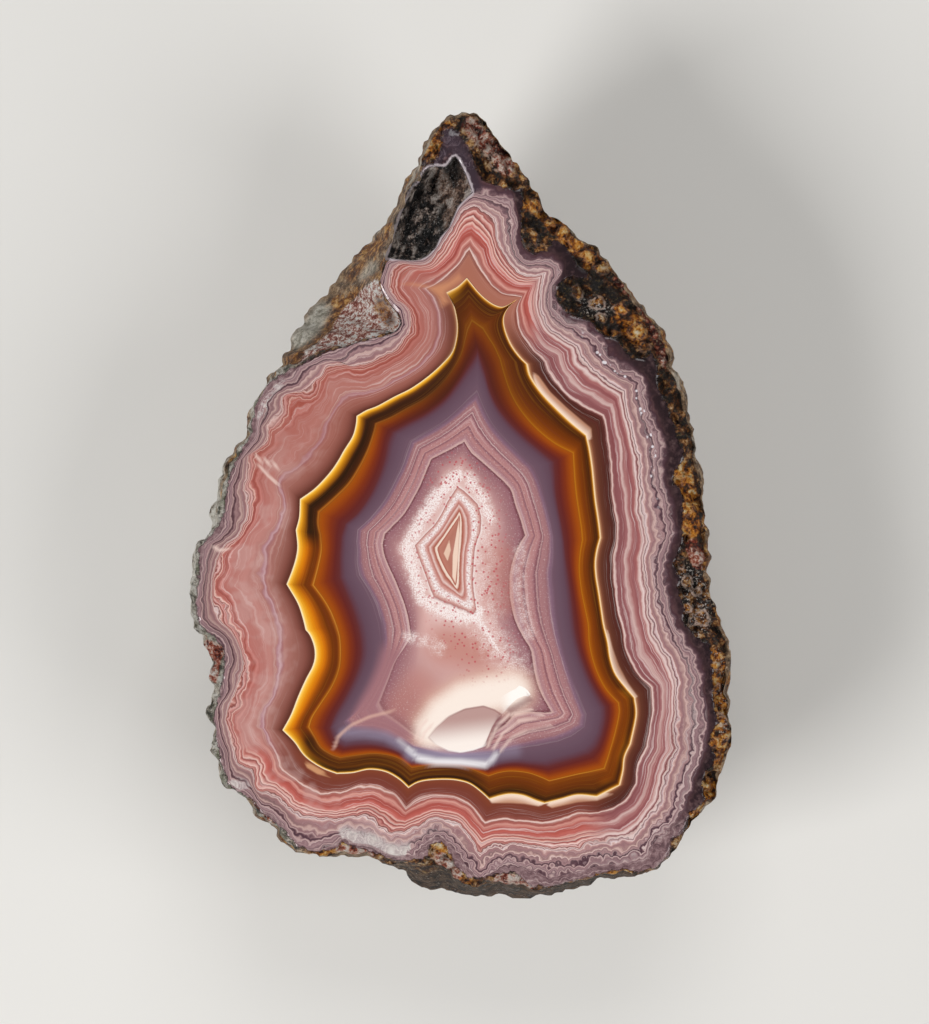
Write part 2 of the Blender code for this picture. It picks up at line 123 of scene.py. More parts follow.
purpleOutline = [
    [(2.0, 18.9)], [(2.4, 17.8)],
    [(2.9, 16.3), (3.4, 14.4), (4.3, 12.4), (5.7, 10.5), (7.6, 8.6), (9.5, 7.0)],
    [(11.2, 5.6), (11.3, 4.0), (11.4, 2.0), (11.7, 0.0), (12.1, -2.0)],
    [(12.4, -4.0), (12.6, -6.0), (12.9, -8.0), (13.2, -10.0), (13.5, -12.5), (13.8, -15.0),
     (14.4, -17.5), (15.3, -20.0), (16.3, -22.0)],
    [(17.4, -23.8), (17.4, -25.3)], [(17.0, -27.2), (16.4, -28.6)], [(15.5, -29.5)],
    [(14.0, -30.0), (12.2, -30.5)], [(10.4, -31.0), (8.5, -30.8), (6.5, -30.6), (4.8, -30.8)],
    [(3.2, -31.2), (1.5, -30.7), (-0.5, -30.4), (-3.0, -30.3), (-4.8, -30.4)],
    [(-6.0, -30.4), (-7.2, -29.5), (-8.6, -28.9), (-10.5, -28.5), (-12.3, -28.5)],
    [(-14.0, -28.7), (-14.8, -28.3), (-15.4, -27.5)],
    [(-15.8, -26.4), (-15.2, -24.8), (-13.9, -22.5), (-12.7, -20.0), (-12.1, -17.8),
     (-12.1, -16.0)],
    [(-12.4, -14.2), (-13.1, -12.0), (-13.9, -10.0)], [(-14.6, -8.3), (-14.6, -6.0), (-14.5, -4.5)],
    [(-14.4, -3.3)],
    [(-13.9, -1.8), (-12.4, -0.5), (-11.0, 1.5), (-9.9, 3.8), (-9.2, 6.0), (-8.8, 8.0)],
    [(-8.3, 9.2), (-6.5, 10.2), (-4.2, 11.4), (-2.0, 13.1), (-0.5, 15.0), (0.7, 16.8)],
    [(1.3, 17.7)],
]

goldLineOutline = [
    [(1.3, 22.6)], [(2.6, 21.7), (3.3, 20.6), (4.0, 19.5)],
    [(4.7, 18.0), (5.2, 16.2), (6.0, 13.9), (7.2, 11.8), (9.0, 9.7), (11.2, 7.9)],
    [(13.5, 6.7), (13.6, 5.0), (13.7, 3.5), (13.9, 1.5), (14.2, -0.5), (14.5, -2.5)],
    [(14.6, -3.8), (14.3, -5.5), (14.2, -7.5), (14.5, -10.0), (14.9, -12.0), (15.3, -14.0),
     (15.4, -16.0), (15.8, -18.0), (16.5, -20.0), (17.5, -21.8)],
    [(18.9, -23.3), (19.0, -24.5), (18.6, -26.5)], [(18.2, -28.0), (17.6, -30.0)],
    [(17.2, -31.2)], [(15.5, -31.6), (14.0, -31.9), (12.3, -32.3)],
    [(10.6, -32.7), (9.5, -32.2), (8.0, -31.7), (6.0, -31.5), (4.5, -31.7)],
    [(3.3, -32.1), (2.3, -31.7), (1.0, -31.2), (-0.5, -30.8), (-3.0, -30.7), (-4.5, -30.9)],
    [(-5.9, -31.1), (-7.2, -30.1), (-8.6, -29.6), (-10.5, -29.4), (-12.5, -29.6)],
    [(-14.5, -29.9), (-15.6, -29.5), (-16.8, -28.7), (-17.6, -27.4)],
    [(-18.3, -26.2), (-17.9, -25.0), (-16.8, -23.3), (-15.5, -21.3), (-14.7, -19.3),
     (-14.5, -17.5), (-14.6, -15.5)],
    [(-15.0, -14.0), (-15.7, -12.3), (-16.6, -10.8)], [(-17.8, -9.2), (-17.2, -7.0), (-16.8, -5.0)],
    [(-16.9, -3.2), (-17.2, -1.8)],
    [(-17.1, -0.4), (-15.2, 1.3), (-13.5, 3.0), (-12.2, 5.0), (-11.2, 7.0), (-10.5, 9.0)],
    [(-10.2, 10.2), (-8.5, 10.9), (-6.5, 12.0), (-4.5, 13.1), (-2.7, 14.6), (-1.2, 16.4),
     (0.0, 18.5), (0.5, 20.3)],
    [(0.8, 21.5)],
]

creamLineOutline = [
    [(0.7, 27.6), (2.2, 25.8), (3.5, 24.7), (4.6, 24.2), (5.4, 24.3)],
    [(6.7, 25.1), (5.6, 24.0), (5.1, 22.8), (5.3, 21.3), (6.0, 19.6), (7.0, 18.2)],
    [(7.9, 17.3), (8.3, 15.8), (9.6, 13.9), (11.3, 12.1), (13.2, 10.3)],
    [(15.0, 8.8), (15.4, 7.0), (15.7, 5.0), (15.9, 3.0), (16.1, 1.0), (16.4, -1.0), (16.6, -2.5)],
    [(16.7, -3.5), (16.3, -5.0), (16.1, -6.5), (16.2, -8.2), (16.5, -10.0), (16.8, -12.0),
     (17.1, -14.0), (17.6, -16.0), (17.9, -18.0), (18.5, -19.8), (19.6, -21.3)],
    [(20.8, -22.7), (21.0, -24.2), (20.9, -25.5)], [(20.3, -28.2), (19.6, -29.8), (19.4, -31.5)],
    [(19.0, -33.2), (17.8, -33.8)], [(16.3, -34.6), (14.0, -34.4), (12.0, -34.9)],
    [(10.0, -35.4), (9.0, -35.1), (7.5, -34.5), (6.0, -34.3), (4.7, -34.5)],
    [(3.4, -34.9), (2.3, -33.9), (1.0, -33.0), (-0.5, -32.6), (-2.0, -32.5), (-4.0, -32.6),
     (-5.3, -32.9)],
    [(-6.3, -33.5), (-7.4, -32.5), (-9.0, -31.6), (-11.0, -31.3), (-13.0, -31.7)],
    [(-14.9, -31.8), (-16.5, -31.2), (-18.0, -30.3), (-19.0, -29.4), (-20.0, -28.0)],
    [(-21.4, -26.6), (-20.4, -24.8), (-19.5, -22.5), (-18.6, -20.5), (-17.8, -19.0),
     (-17.5, -17.8), (-17.6, -16.5), (-18.1, -15.2)],
    [(-18.6, -14.6), (-19.0, -13.0), (-19.6, -11.3)], [(-20.9, -9.1), (-20.3, -7.6), (-19.8, -6.0),
     (-19.6, -4.5)],
    [(-19.8, -2.6), (-19.4, -1.0)],
    [(-19.3, 1.1), (-17.5, 2.4), (-15.8, 4.2), (-14.8, 5.6), (-14.0, 7.0), (-13.0, 8.6),
     (-12.6, 10.0)],
    [(-12.5, 11.1), (-11.3, 11.8), (-10.0, 12.3), (-8.0, 13.4), (-6.0, 14.4), (-4.0, 15.8),
     (-2.3, 17.3), (-1.0, 18.8), (-0.5, 20.5), (-0.4, 22.0), (-0.6, 23.4), (-1.0, 24.8)],
    [(-1.7, 25.9), (-0.4, 26.6)],
]

pinkLineOutline = [
    [(1.0, 31.2), (1.8, 29.5), (2.8, 28.0), (4.0, 26.6), (5.2, 25.8)],
    [(7.3, 25.4), (6.7, 24.0), (6.8, 22.3), (7.6, 20.6), (8.8, 19.0)],
    [(10.2, 17.6), (10.7, 16.2), (11.8, 14.6), (13.6, 13.0), (15.2, 12.0)],
    [(17.0, 11.1), (17.4, 9.6), (17.8, 7.0), (18.0, 4.5), (18.2, 2.0), (18.4, 0.0), (18.7, -2.0)],
    [(18.8, -3.6), (18.4, -5.5), (18.3, -7.5), (18.5, -10.0), (18.8, -12.0), (19.3, -14.0),
     (19.7, -16.0), (20.2, -18.0), (21.3, -19.8)],
    [(22.8, -21.5), (23.0, -24.0), (22.8, -26.0)], [(22.3, -28.6), (21.3, -30.5)],
    [(21.0, -33.0), (20.0, -34.7), (18.5, -35.8)], [(16.5, -36.6), (14.0, -36.6), (12.0, -37.3)],
    [(9.8, -37.7), (7.0, -37.4), (5.0, -37.2)],
    [(2.9, -37.6), (1.8, -36.3), (0.5, -35.1), (-1.5, -34.5), (-3.5, -34.4), (-5.3, -34.9)],
    [(-6.6, -35.9), (-8.0, -34.3), (-10.0, -33.3), (-12.0, -33.2), (-14.0, -33.9)],
    [(-16.0, -34.1), (-18.0, -33.3), (-20.0, -31.9), (-21.2, -30.6), (-22.3, -28.5)],
    [(-23.9, -26.3), (-23.4, -24.0), (-22.3, -22.0), (-21.6, -20.0), (-21.3, -18.0),
     (-21.5, -16.0)],
    [(-21.8, -14.0), (-22.5, -12.0), (-23.3, -10.3)], [(-23.9, -8.6), (-23.3, -6.0), (-22.5, -4.0)],
    [(-21.8, -2.0), (-21.3, 0.0)],
    [(-21.5, 3.2), (-20.5, 4.2), (-18.5, 6.0), (-17.2, 7.5), (-16.2, 9.5), (-15.6, 11.2)],
    [(-14.9, 12.2), (-13.0, 13.2), (-11.5, 13.5), (-10.0, 14.2), (-8.0, 15.2), (-5.5, 16.6),
     (-4.0, 18.0), (-2.9, 19.8), (-2.5, 21.8), (-2.7, 23.5), (-3.3, 25.2)],
    [(-4.3, 26.4), (-2.5, 27.4), (-0.6, 29.0)],
]

lavenderLineOutline = [
    [(1.6, 36.4), (2.6, 35.7), (3.6, 35.2), (4.2, 34.6), (4.3, 33.2), (4.5, 31.8), (5.2, 30.4),
     (6.3, 29.1), (7.5, 28.3), (8.6, 28.0)],
    [(9.9, 28.2), (9.7, 26.6), (9.6, 24.8), (10.0, 23.2), (11.0, 21.6), (12.3, 20.6)],
    [(14.1, 19.6), (14.9, 17.8), (16.5, 16.2), (18.3, 15.2)],
    [(19.6, 14.2), (20.0, 12.0), (20.5, 10.0), (21.0, 8.0), (21.4, 6.0), (21.6, 4.0), (21.8, 2.0),
     (21.9, 0.0), (22.3, -2.0)],
    [(22.6, -4.0), (22.2, -6.0), (22.2, -8.0), (22.5, -10.0), (22.8, -12.0), (23.3, -14.0),
     (24.0, -16.0), (25.4, -18.2)],
    [(26.1, -20.5), (26.0, -24.0), (25.7, -26.5)], [(26.0, -28.8), (25.2, -31.0), (24.6, -33.0),
     (24.0, -35.0)],
    [(22.8, -36.8), (21.7, -38.2)], [(20.6, -39.6), (18.0, -39.8), (15.0, -40.3), (13.0, -40.9)],
    [(10.0, -41.0), (8.0, -40.6), (6.0, -40.2), (4.0, -40.5)],
    [(2.3, -41.2), (1.0, -39.7), (0.0, -38.3), (-1.5, -37.5), (-3.2, -37.3), (-5.0, -38.1)],
    [(-6.8, -39.0), (-8.5, -38.9), (-10.0, -37.8), (-12.0, -37.0), (-14.0, -36.9)],
    [(-16.5, -37.5), (-18.5, -37.4), (-20.5, -36.2), (-21.5, -35.2), (-23.0, -34.2),
     (-24.6, -33.6), (-25.0, -31.5), (-26.0, -31.0), (-27.2, -30.0), (-27.6, -28.0)],
    [(-28.2, -25.3), (-27.3, -22.2), (-26.3, -20.0), (-26.1, -18.0), (-26.7, -16.0)],
    [(-28.0, -14.2), (-29.5, -12.5)], [(-29.7, -9.5), (-29.6, -8.0), (-29.0, -6.0)],
    [(-28.0, -4.3), (-26.6, -3.0), (-25.9, -1.0), (-25.7, 1.0), (-26.0, 3.0)],
    [(-25.4, 6.4), (-23.8, 7.6), (-23.2, 9.0), (-23.3, 10.0), (-22.5, 11.0), (-21.5, 12.0),
     (-21.3, 13.2), (-20.5, 13.8), (-19.0, 14.2), (-17.8, 15.0), (-16.8, 15.8)],
    [(-16.3, 17.2), (-14.5, 17.6), (-13.0, 17.0), (-11.5, 17.5), (-9.5, 18.4), (-8.0, 19.2),
     (-7.0, 20.3), (-6.2, 21.5), (-6.2, 23.0), (-6.7, 24.2), (-7.8, 25.2)],
    [(-8.7, 26.6), (-8.6, 27.6), (-8.2, 28.6), (-7.2, 29.5), (-5.5, 29.3), (-4.0, 29.6),
     (-2.9, 30.8), (-2.0, 32.2), (-0.9, 33.9), (-0.2, 35.4), (0.6, 36.2)],
]

lavenderEndOutline = [
    [(1.4, 37.9), (3.0, 37.6), (5.0, 37.4), (6.2, 37.0), (6.6, 35.5), (6.8, 34.0), (6.7, 32.0),
     (7.2, 30.5), (8.2, 29.8), (9.5, 29.9), (10.6, 30.0)],
    [(11.6, 29.2), (11.9, 28.3), (11.2, 27.0), (10.9, 25.5), (11.2, 24.0), (12.0, 23.0),
     (13.2, 22.2), (14.6, 21.9)],
    [(16.0, 20.8), (17.2, 19.3), (18.0, 18.0), (19.5, 17.0), (21.0, 16.2)],
    [(21.7, 15.6), (21.9, 13.8), (22.7, 12.0), (23.3, 10.0), (23.8, 8.0), (24.1, 6.3),
     (23.7, 4.7), (24.0, 3.0), (24.7, 1.5), (25.1, 0.0), (25.2, -1.5)],
    [(25.3, -3.2), (24.6, -5.0), (24.2, -6.5), (24.3, -8.0), (24.4, -10.0), (25.0, -12.0),
     (25.6, -14.0), (26.8, -16.0), (28.0, -17.5)],
    [(28.8, -19.8), (28.8, -22.0), (29.3, -24.0), (29.4, -25.5)],
    [(29.0, -29.0), (28.3, -31.0), (27.5, -33.0), (26.7, -35.5)],
    [(25.5, -37.8), (24.0, -39.0), (23.0, -40.3)], [(22.0, -42.0), (19.0, -42.5), (16.0, -43.0),
     (13.0, -43.8)],
    [(10.5, -44.3), (9.0, -43.5), (7.5, -42.9), (5.5, -42.8), (4.0, -43.5)],
    [(2.5, -44.3), (0.8, -43.0), (-0.3, -41.5), (-1.6, -39.9), (-2.8, -39.3), (-4.2, -40.0)],
    [(-5.5, -41.5), (-8.0, -41.6), (-9.5, -41.0), (-11.0, -40.3), (-12.8, -40.1), (-14.0, -39.4),
     (-15.2, -40.2)],
    [(-17.0, -41.0), (-19.0, -40.6), (-20.6, -39.0), (-22.0, -37.2), (-23.8, -36.0),
     (-25.4, -34.4), (-27.6, -33.0), (-28.3, -31.0)],
    [(-29.3, -26.5), (-29.7, -24.5), (-28.6, -22.5), (-28.6, -20.0), (-28.0, -18.0),
     (-28.6, -16.3)],
    [(-29.9, -14.9), (-31.3, -13.8), (-31.8, -12.2)],
    [(-31.7, -10.0), (-31.3, -8.0), (-31.0, -6.0)],
    [(-30.7, -4.3), (-29.5, -3.6), (-28.6, -2.5), (-28.2, -0.5), (-28.0, 1.5), (-27.6, 3.5)],
    [(-26.8, 5.6), (-25.8, 7.0), (-24.7, 8.6), (-24.5, 10.0), (-24.3, 12.0), (-23.5, 13.6),
     (-22.3, 14.8), (-20.8, 15.7)],
    [(-19.3, 17.0), (-16.5, 18.5), (-13.5, 19.6), (-11.0, 20.3), (-8.6, 20.9), (-7.4, 21.9),
     (-7.6, 23.2), (-8.6, 24.6), (-9.4, 25.8)],
    [(-9.9, 27.0), (-9.3, 28.5), (-8.8, 29.7), (-7.0, 29.85), (-5.0, 29.9), (-3.9, 30.4),
     (-2.9, 31.5), (-2.2, 32.8), (-1.2, 34.1), (-0.6, 35.6), (0.3, 36.9)],
]

rimOutline = [
    [(0.6, 47.3), (1.9, 46.9), (2.6, 46.6), (3.4, 46.1), (3.8, 45.3), (4.3, 44.6), (4.9, 43.2),
     (5.8, 42.3), (6.4, 41.5), (7.0, 40.7), (7.8, 39.7), (8.1, 38.9), (8.9, 38.0), (9.6, 36.9),
     (10.4, 36.0), (11.4, 35.0), (12.6, 33.9)],
    [(13.8, 32.6), (15.2, 31.7), (16.4, 30.6), (17.4, 29.4), (18.2, 28.4), (19.3, 26.9)],
    [(20.3, 25.5), (21.1, 24.1), (22.1, 23.1), (23.2, 21.8), (23.8, 20.7), (24.3, 19.6),
     (24.9, 18.2), (25.2, 16.9)],
    [(25.6, 15.4), (26.1, 13.9), (26.7, 12.1), (27.1, 10.9), (27.4, 9.5), (27.8, 8.2), (28.0, 6.6),
     (28.1, 5.0), (28.4, 3.5), (28.8, 2.0), (29.0, 0.5), (29.1, -1.2), (29.2, -3.0)],
    [(29.2, -4.5), (29.3, -6.2), (29.2, -7.6), (29.8, -8.7), (30.1, -10.0), (30.3, -11.5),
     (30.8, -13.8), (31.4, -15.2), (31.8, -16.5), (31.9, -18.5)],
    [(31.9, -20.0), (32.0, -22.0), (32.0, -24.0), (32.2, -26.0), (32.3, -27.5)],
    [(31.9, -29.0), (31.5, -30.3), (30.7, -31.6), (30.5, -33.0), (30.4, -34.4)],
    [(29.2, -35.6), (28.2, -37.3), (27.3, -38.5), (26.5, -39.7), (25.4, -41.1)],
    [(24.5, -42.4), (23.0, -43.6), (21.0, -44.1), (19.0, -43.8), (17.0, -44.1), (15.5, -44.6),
     (14.0, -44.8), (12.5, -45.3)],
    [(10.5, -45.7), (8.5, -45.5), (7.0, -45.3), (5.5, -45.0), (4.0, -45.0)],
    [(2.0, -45.2), (0.5, -45.0), (-0.5, -44.4), (-2.0, -43.2), (-3.5, -42.6)],
    [(-5.0, -42.7), (-6.8, -42.6), (-8.3, -42.7), (-9.8, -42.2), (-11.0, -41.9), (-12.5, -41.5),
     (-14.0, -41.3), (-15.5, -41.6)],
    [(-17.0, -41.9), (-18.5, -41.5), (-19.8, -40.8), (-20.8, -39.9), (-21.7, -38.8), (-23.0, -37.6),
     (-24.2, -36.6), (-25.3, -35.0), (-26.5, -34.3), (-27.8, -33.6), (-28.5, -32.7),
     (-28.8, -31.5), (-29.3, -30.3), (-29.7, -29.0), (-29.8, -27.5)],
    [(-29.9, -26.0), (-30.4, -24.9), (-30.4, -24.0), (-29.8, -23.0), (-29.5, -21.8),
     (-29.9, -20.9), (-30.2, -19.5), (-30.3, -18.0), (-30.6, -17.0), (-30.7, -16.0)],
    [(-30.5, -15.2), (-31.5, -14.6), (-32.3, -13.5), (-32.5, -12.2), (-32.4, -11.0)],
    [(-32.2, -10.0), (-32.2, -8.5), (-32.1, -7.3), (-31.9, -6.0), (-31.9, -4.6)],
    [(-31.5, -3.8), (-30.7, -3.0), (-30.0, -2.2), (-29.2, -1.6), (-29.1, -0.5), (-29.1, 0.6),
     (-28.9, 1.8), (-28.6, 3.1), (-28.3, 4.4)],
    [(-27.8, 5.4), (-26.9, 6.1), (-26.6, 7.1), (-26.0, 7.8), (-25.6, 8.8), (-25.8, 9.9),
     (-25.3, 10.8), (-25.1, 12.0), (-24.9, 13.0), (-24.2, 14.0), (-23.6, 15.1), (-22.6, 16.1),
     (-22.0, 16.5)],
    [(-19.3, 17.7), (-16.0, 19.0), (-13.0, 20.0), (-10.0, 20.7), (-8.0, 21.2), (-7.3, 22.5),
     (-8.0, 24.0), (-9.3, 25.7)],
    [(-10.2, 27.5), (-9.7, 28.3), (-8.9, 30.0), (-8.5, 32.0), (-7.8, 34.5), (-7.0, 36.2),
     (-6.4, 37.8), (-5.8, 39.0), (-4.9, 39.5), (-4.8, 41.0), (-4.2, 42.5), (-3.6, 43.8),
     (-3.0, 45.3), (-2.0, 46.3), (-0.9, 46.7)],
]

girdleOutline = [
    [(0.6, 47.6), (3.2, 46.3), (5.0, 43.6), (7.2, 40.8), (9.0, 38.4), (11.6, 35.2)],
    [(14.2, 33.0), (16.6, 30.8), (18.8, 28.0)], [(20.9, 25.0), (22.8, 22.7), (24.2, 20.6),
     (25.3, 17.8)],
    [(26.1, 15.2), (27.4, 10.6), (28.3, 5.4), (29.2, 0.2), (29.5, -3.0)],
    [(29.6, -5.0), (30.1, -9.0), (31.0, -13.0), (32.2, -17.6)], [(32.4, -20.2), (32.6, -25.0)],
    [(32.3, -29.0), (31.1, -32.0), (30.5, -35.0)], [(29.4, -36.6), (27.2, -39.6)],
    [(25.0, -42.8), (21.5, -44.5), (17.0, -44.9), (14.0, -45.8)],
    [(11.0, -46.9), (8.0, -47.5), (5.0, -47.2)],
    [(2.4, -46.9), (0.0, -46.3), (-2.6, -46.0), (-4.6, -46.0)],
    [(-6.0, -45.3), (-7.8, -43.7), (-9.4, -42.9), (-13.0, -42.2)],
    [(-17.2, -42.3), (-20.6, -40.4), (-23.6, -37.8), (-26.2, -35.2), (-28.9, -32.8),
     (-30.0, -29.6)],
    [(-30.3, -26.2), (-30.7, -23.0), (-30.6, -19.5), (-31.0, -17.0)],
    [(-31.3, -15.2), (-32.7, -13.0), (-32.7, -11.4)], [(-32.6, -9.8), (-32.3, -6.0)],
    [(-31.7, -3.9), (-29.8, -1.8), (-29.4, 1.2), (-28.8, 4.0)],
    [(-28.2, 5.4), (-26.3, 8.6), (-25.6, 12.0), (-24.2, 15.0)],
    [(-22.6, 17.2), (-21.4, 19.0), (-20.2, 20.6), (-18.2, 23.4), (-16.4, 26.2)],
    [(-15.2, 28.4), (-13.0, 31.2), (-11.0, 33.3), (-9.5, 34.4), (-7.9, 36.2), (-6.4, 38.9),
     (-5.2, 41.2), (-4.0, 44.3), (-1.8, 46.6)],
]

bandOutlines = [
    spindleOutline, eyeOutline, eyeRimOutline, sugarOutline, innerLineOutline, mauveOutline,
    purpleOutline, goldLineOutline, creamLineOutline, pinkLineOutline, lavenderLineOutline,
    lavenderEndOutline, rimOutline,
]

# Other shapes on the cut face, each a closed line
hollowOutline = [
    (-8.9, 30.1), (-8.0, 29.9), (-7.0, 29.8), (-6.0, 29.7), (-5.0, 29.8), (-4.0, 30.3),
    (-3.0, 31.3), (-2.5, 32.5), (-1.4, 33.7), (-0.9, 34.9), (-0.3, 36.3), (0.6, 37.2),
    (1.4, 37.9), (1.0, 39.0), (0.6, 40.1), (0.1, 41.1), (-0.3, 41.9), (-0.7, 42.3), (-1.1, 42.2),
    (-1.4, 41.5), (-1.9, 41.0), (-3.0, 41.1), (-3.8, 41.0), (-4.6, 40.4), (-4.9, 39.3),
    (-5.9, 38.5), (-6.6, 37.0), (-7.3, 35.2), (-8.0, 33.0), (-8.5, 31.2),
]

# The crust's inner edge down the right side and along the bottom; outside it lies the crust
crustOutline = [
    (-0.3, 45.0), (0.8, 43.3), (1.5, 41.2), (2.0, 40.2), (2.6, 39.3), (3.6, 38.9), (4.8, 38.5),
    (6.0, 38.2), (7.2, 38.3), (7.4, 37.0), (7.2, 35.6), (7.2, 32.5), (7.5, 31.3), (8.5, 30.5),
    (9.6, 30.7), (10.6, 31.3), (11.5, 32.2), (12.6, 31.2), (13.4, 30.0), (13.9, 28.9),
    (15.2, 28.2), (15.6, 27.6), (13.0, 27.9), (11.5, 27.0), (11.3, 25.5), (11.8, 24.3),
    (12.8, 23.3), (14.0, 22.8), (15.3, 22.5), (16.3, 21.5), (17.2, 20.6), (18.6, 20.2),
    (19.5, 19.0), (20.5, 18.0), (22.0, 17.9), (22.9, 18.6), (23.4, 17.5), (23.6, 16.0),
    (23.4, 14.5), (24.0, 13.5), (24.6, 12.5), (25.0, 11.0), (25.6, 9.8), (25.8, 8.5), (26.5, 7.3),
    (26.8, 6.4), (26.2, 5.3), (25.6, 4.4), (25.2, 3.2), (26.2, 2.3), (26.6, 1.0), (26.5, -1.0),
    (26.4, -3.0), (26.6, -4.2), (26.0, -5.2), (25.3, -7.0), (25.9, -7.7), (26.3, -8.5),
    (26.0, -9.5), (26.3, -11.0), (26.8, -12.3), (26.6, -13.7), (27.5, -14.8), (28.5, -15.8),
    (29.8, -16.3), (29.9, -17.7), (30.1, -19.5), (30.2, -22.0), (30.3, -24.0), (30.8, -25.5),
    (30.0, -27.0), (29.6, -28.3), (30.4, -29.5), (30.2, -31.0), (29.3, -31.5), (28.9, -32.8),
    (29.0, -34.3), (29.3, -35.0), (28.3, -35.9), (27.2, -36.5), (27.0, -38.0), (26.5, -39.0),
    (25.3, -39.6), (24.9, -40.5), (25.0, -41.5), (23.5, -43.0), (21.0, -43.6), (19.5, -43.2),
    (16.0, -43.9), (12.5, -44.9), (10.5, -45.3), (8.5, -45.2), (7.8, -44.6), (6.5, -43.6),
    (5.0, -43.7), (3.8, -43.8), (3.0, -44.4), (0.9, -44.2), (-0.5, -43.0), (-1.5, -41.0),
    (-1.8, -40.3), (-2.7, -39.8), (-3.6, -40.4), (-4.2, -41.0), (-4.0, -41.7), (-5.0, -42.0),
    (-7.5, -42.2), (-9.5, -41.5), (-11.3, -40.8), (-13.3, -40.5), (-14.0, -39.9), (-15.4, -40.8),
    (-17.5, -41.2), (-19.6, -40.4), (-21.3, -38.4), (-23.6, -36.6), (-25.2, -34.8),
    (-27.6, -33.4), (-28.6, -31.0), (-29.3, -27.5), (-29.5, -25.0), (-29.0, -22.6),
    (-28.4, -20.5), (-28.3, -17.2), (-29.6, -15.3), (-31.2, -14.1), (-31.7, -11.5), (-31.4, -8.0),
    (-31.3, -4.8), (-29.4, -2.6), (-28.3, -0.5), (-28.1, 1.8), (-27.6, 4.3), (-26.3, 6.8),
    (-25.1, 8.8), (-25.0, 10.2), (-24.6, 12.4), (-23.6, 14.4), (-21.6, 16.0), (-19.0, 17.4),
    (-15.9, 18.7), (-12.9, 19.7), (-9.9, 20.4), (-8.0, 20.9), (-6.9, 22.4), (-7.6, 24.1),
    (-9.0, 25.9), (-9.8, 27.6), (-9.2, 28.6), (-8.4, 30.2), (-8.0, 32.2), (-7.3, 34.7),
    (-6.5, 36.4), (-5.9, 38.0), (-5.0, 39.8), (-4.3, 41.0), (-3.0, 41.4), (-2.4, 43.0),
    (-2.2, 45.0), (-1.4, 45.6),
]

lensOutline = [
    (-3.9, -27.5), (-3.0, -26.3), (-1.5, -25.0), (0.5, -24.1), (2.7, -23.75), (4.0, -24.2),
    (4.9, -24.8), (4.3, -25.4), (3.8, -26.2), (3.3, -27.4), (2.9, -28.4), (1.5, -28.9),
    (0.0, -29.2), (-1.5, -29.0), (-3.0, -28.3),
]

wingOutline = [
    (4.8, -22.6), (5.8, -22.0), (6.6, -21.6), (7.0, -21.2), (7.7, -21.5), (8.2, -22.0),
    (8.5, -22.6), (7.6, -22.5), (6.8, -22.8), (6.1, -23.4), (5.4, -24.2), (4.8, -24.8),
    (4.5, -24.2),
]

crescentOutlines = [
    [(3.0, -34.6), (4.7, -33.6), (6.0, -33.4), (7.5, -33.6), (9.0, -34.2), (10.6, -35.3),
     (9.4, -35.9), (7.6, -35.6), (6.0, -35.5), (4.7, -35.5), (3.6, -35.5)],
    [(9.8, -35.5), (12.0, -34.1), (14.0, -33.6), (16.4, -33.8), (19.0, -34.2), (16.4, -35.2),
     (14.0, -35.4), (12.2, -35.8), (10.9, -36.1)],
    [(8.4, 16.6), (8.6, 15.4), (9.6, 13.2), (11.4, 11.2), (13.4, 9.4), (14.9, 8.0), (15.9, 8.2),
     (15.8, 9.7), (14.8, 10.5), (12.8, 12.2), (10.8, 14.1), (9.3, 16.2)],
    [(17.2, -14.2), (17.2, -17.0), (17.8, -19.0), (19.4, -21.6), (20.9, -23.0), (21.4, -22.6),
     (20.2, -20.9), (19.1, -18.8), (18.3, -16.6), (17.8, -14.6)],
]

rustOutline = [
    (-31.0, -15.6), (-29.6, -16.0), (-28.7, -16.4), (-28.4, -17.4), (-28.9, -18.4), (-29.0, -19.6),
    (-29.4, -21.0), (-30.8, -21.4),
]

fanOutline = [
    (0.6, 27.5), (-1.5, 25.8), (-1.0, 24.6), (-2.6, 23.6), (-3.0, 25.2), (-4.2, 26.2),
    (-6.6, 26.6), (-8.7, 26.9), (-6.0, 27.4), (-3.6, 27.0), (-1.6, 27.6), (-0.2, 28.6),
]

tanOutline = [
    (-19.2, -29.9), (-18.6, -31.2), (-17.3, -32.0), (-15.3, -32.5), (-16.4, -31.4), (-17.8, -30.6),
]

panelOutline = [
    (-0.2, -1.2), (-0.2, -3.0), (-0.36, -6.0), (-0.66, -9.0), (-1.05, -8.2), (-1.0, -5.6),
    (-0.5, -2.6),
]

sliverOutline = [(-1.4, -3.7), (-1.2, -5.0), (-1.6, -6.4), (-2.1, -5.4)]

scoopOutline = [
    (-10.2, 27.6), (-11.3, 27.2), (-12.2, 26.3), (-13.3, 25.2), (-14.5, 24.1), (-15.2, 22.8),
    (-15.7, 21.6), (-17.0, 20.3), (-18.9, 19.0), (-19.6, 17.2), (-15.9, 18.2), (-12.9, 19.2),
    (-9.9, 20.0), (-7.4, 20.9), (-6.6, 22.4), (-7.4, 24.1), (-8.8, 25.9),
]

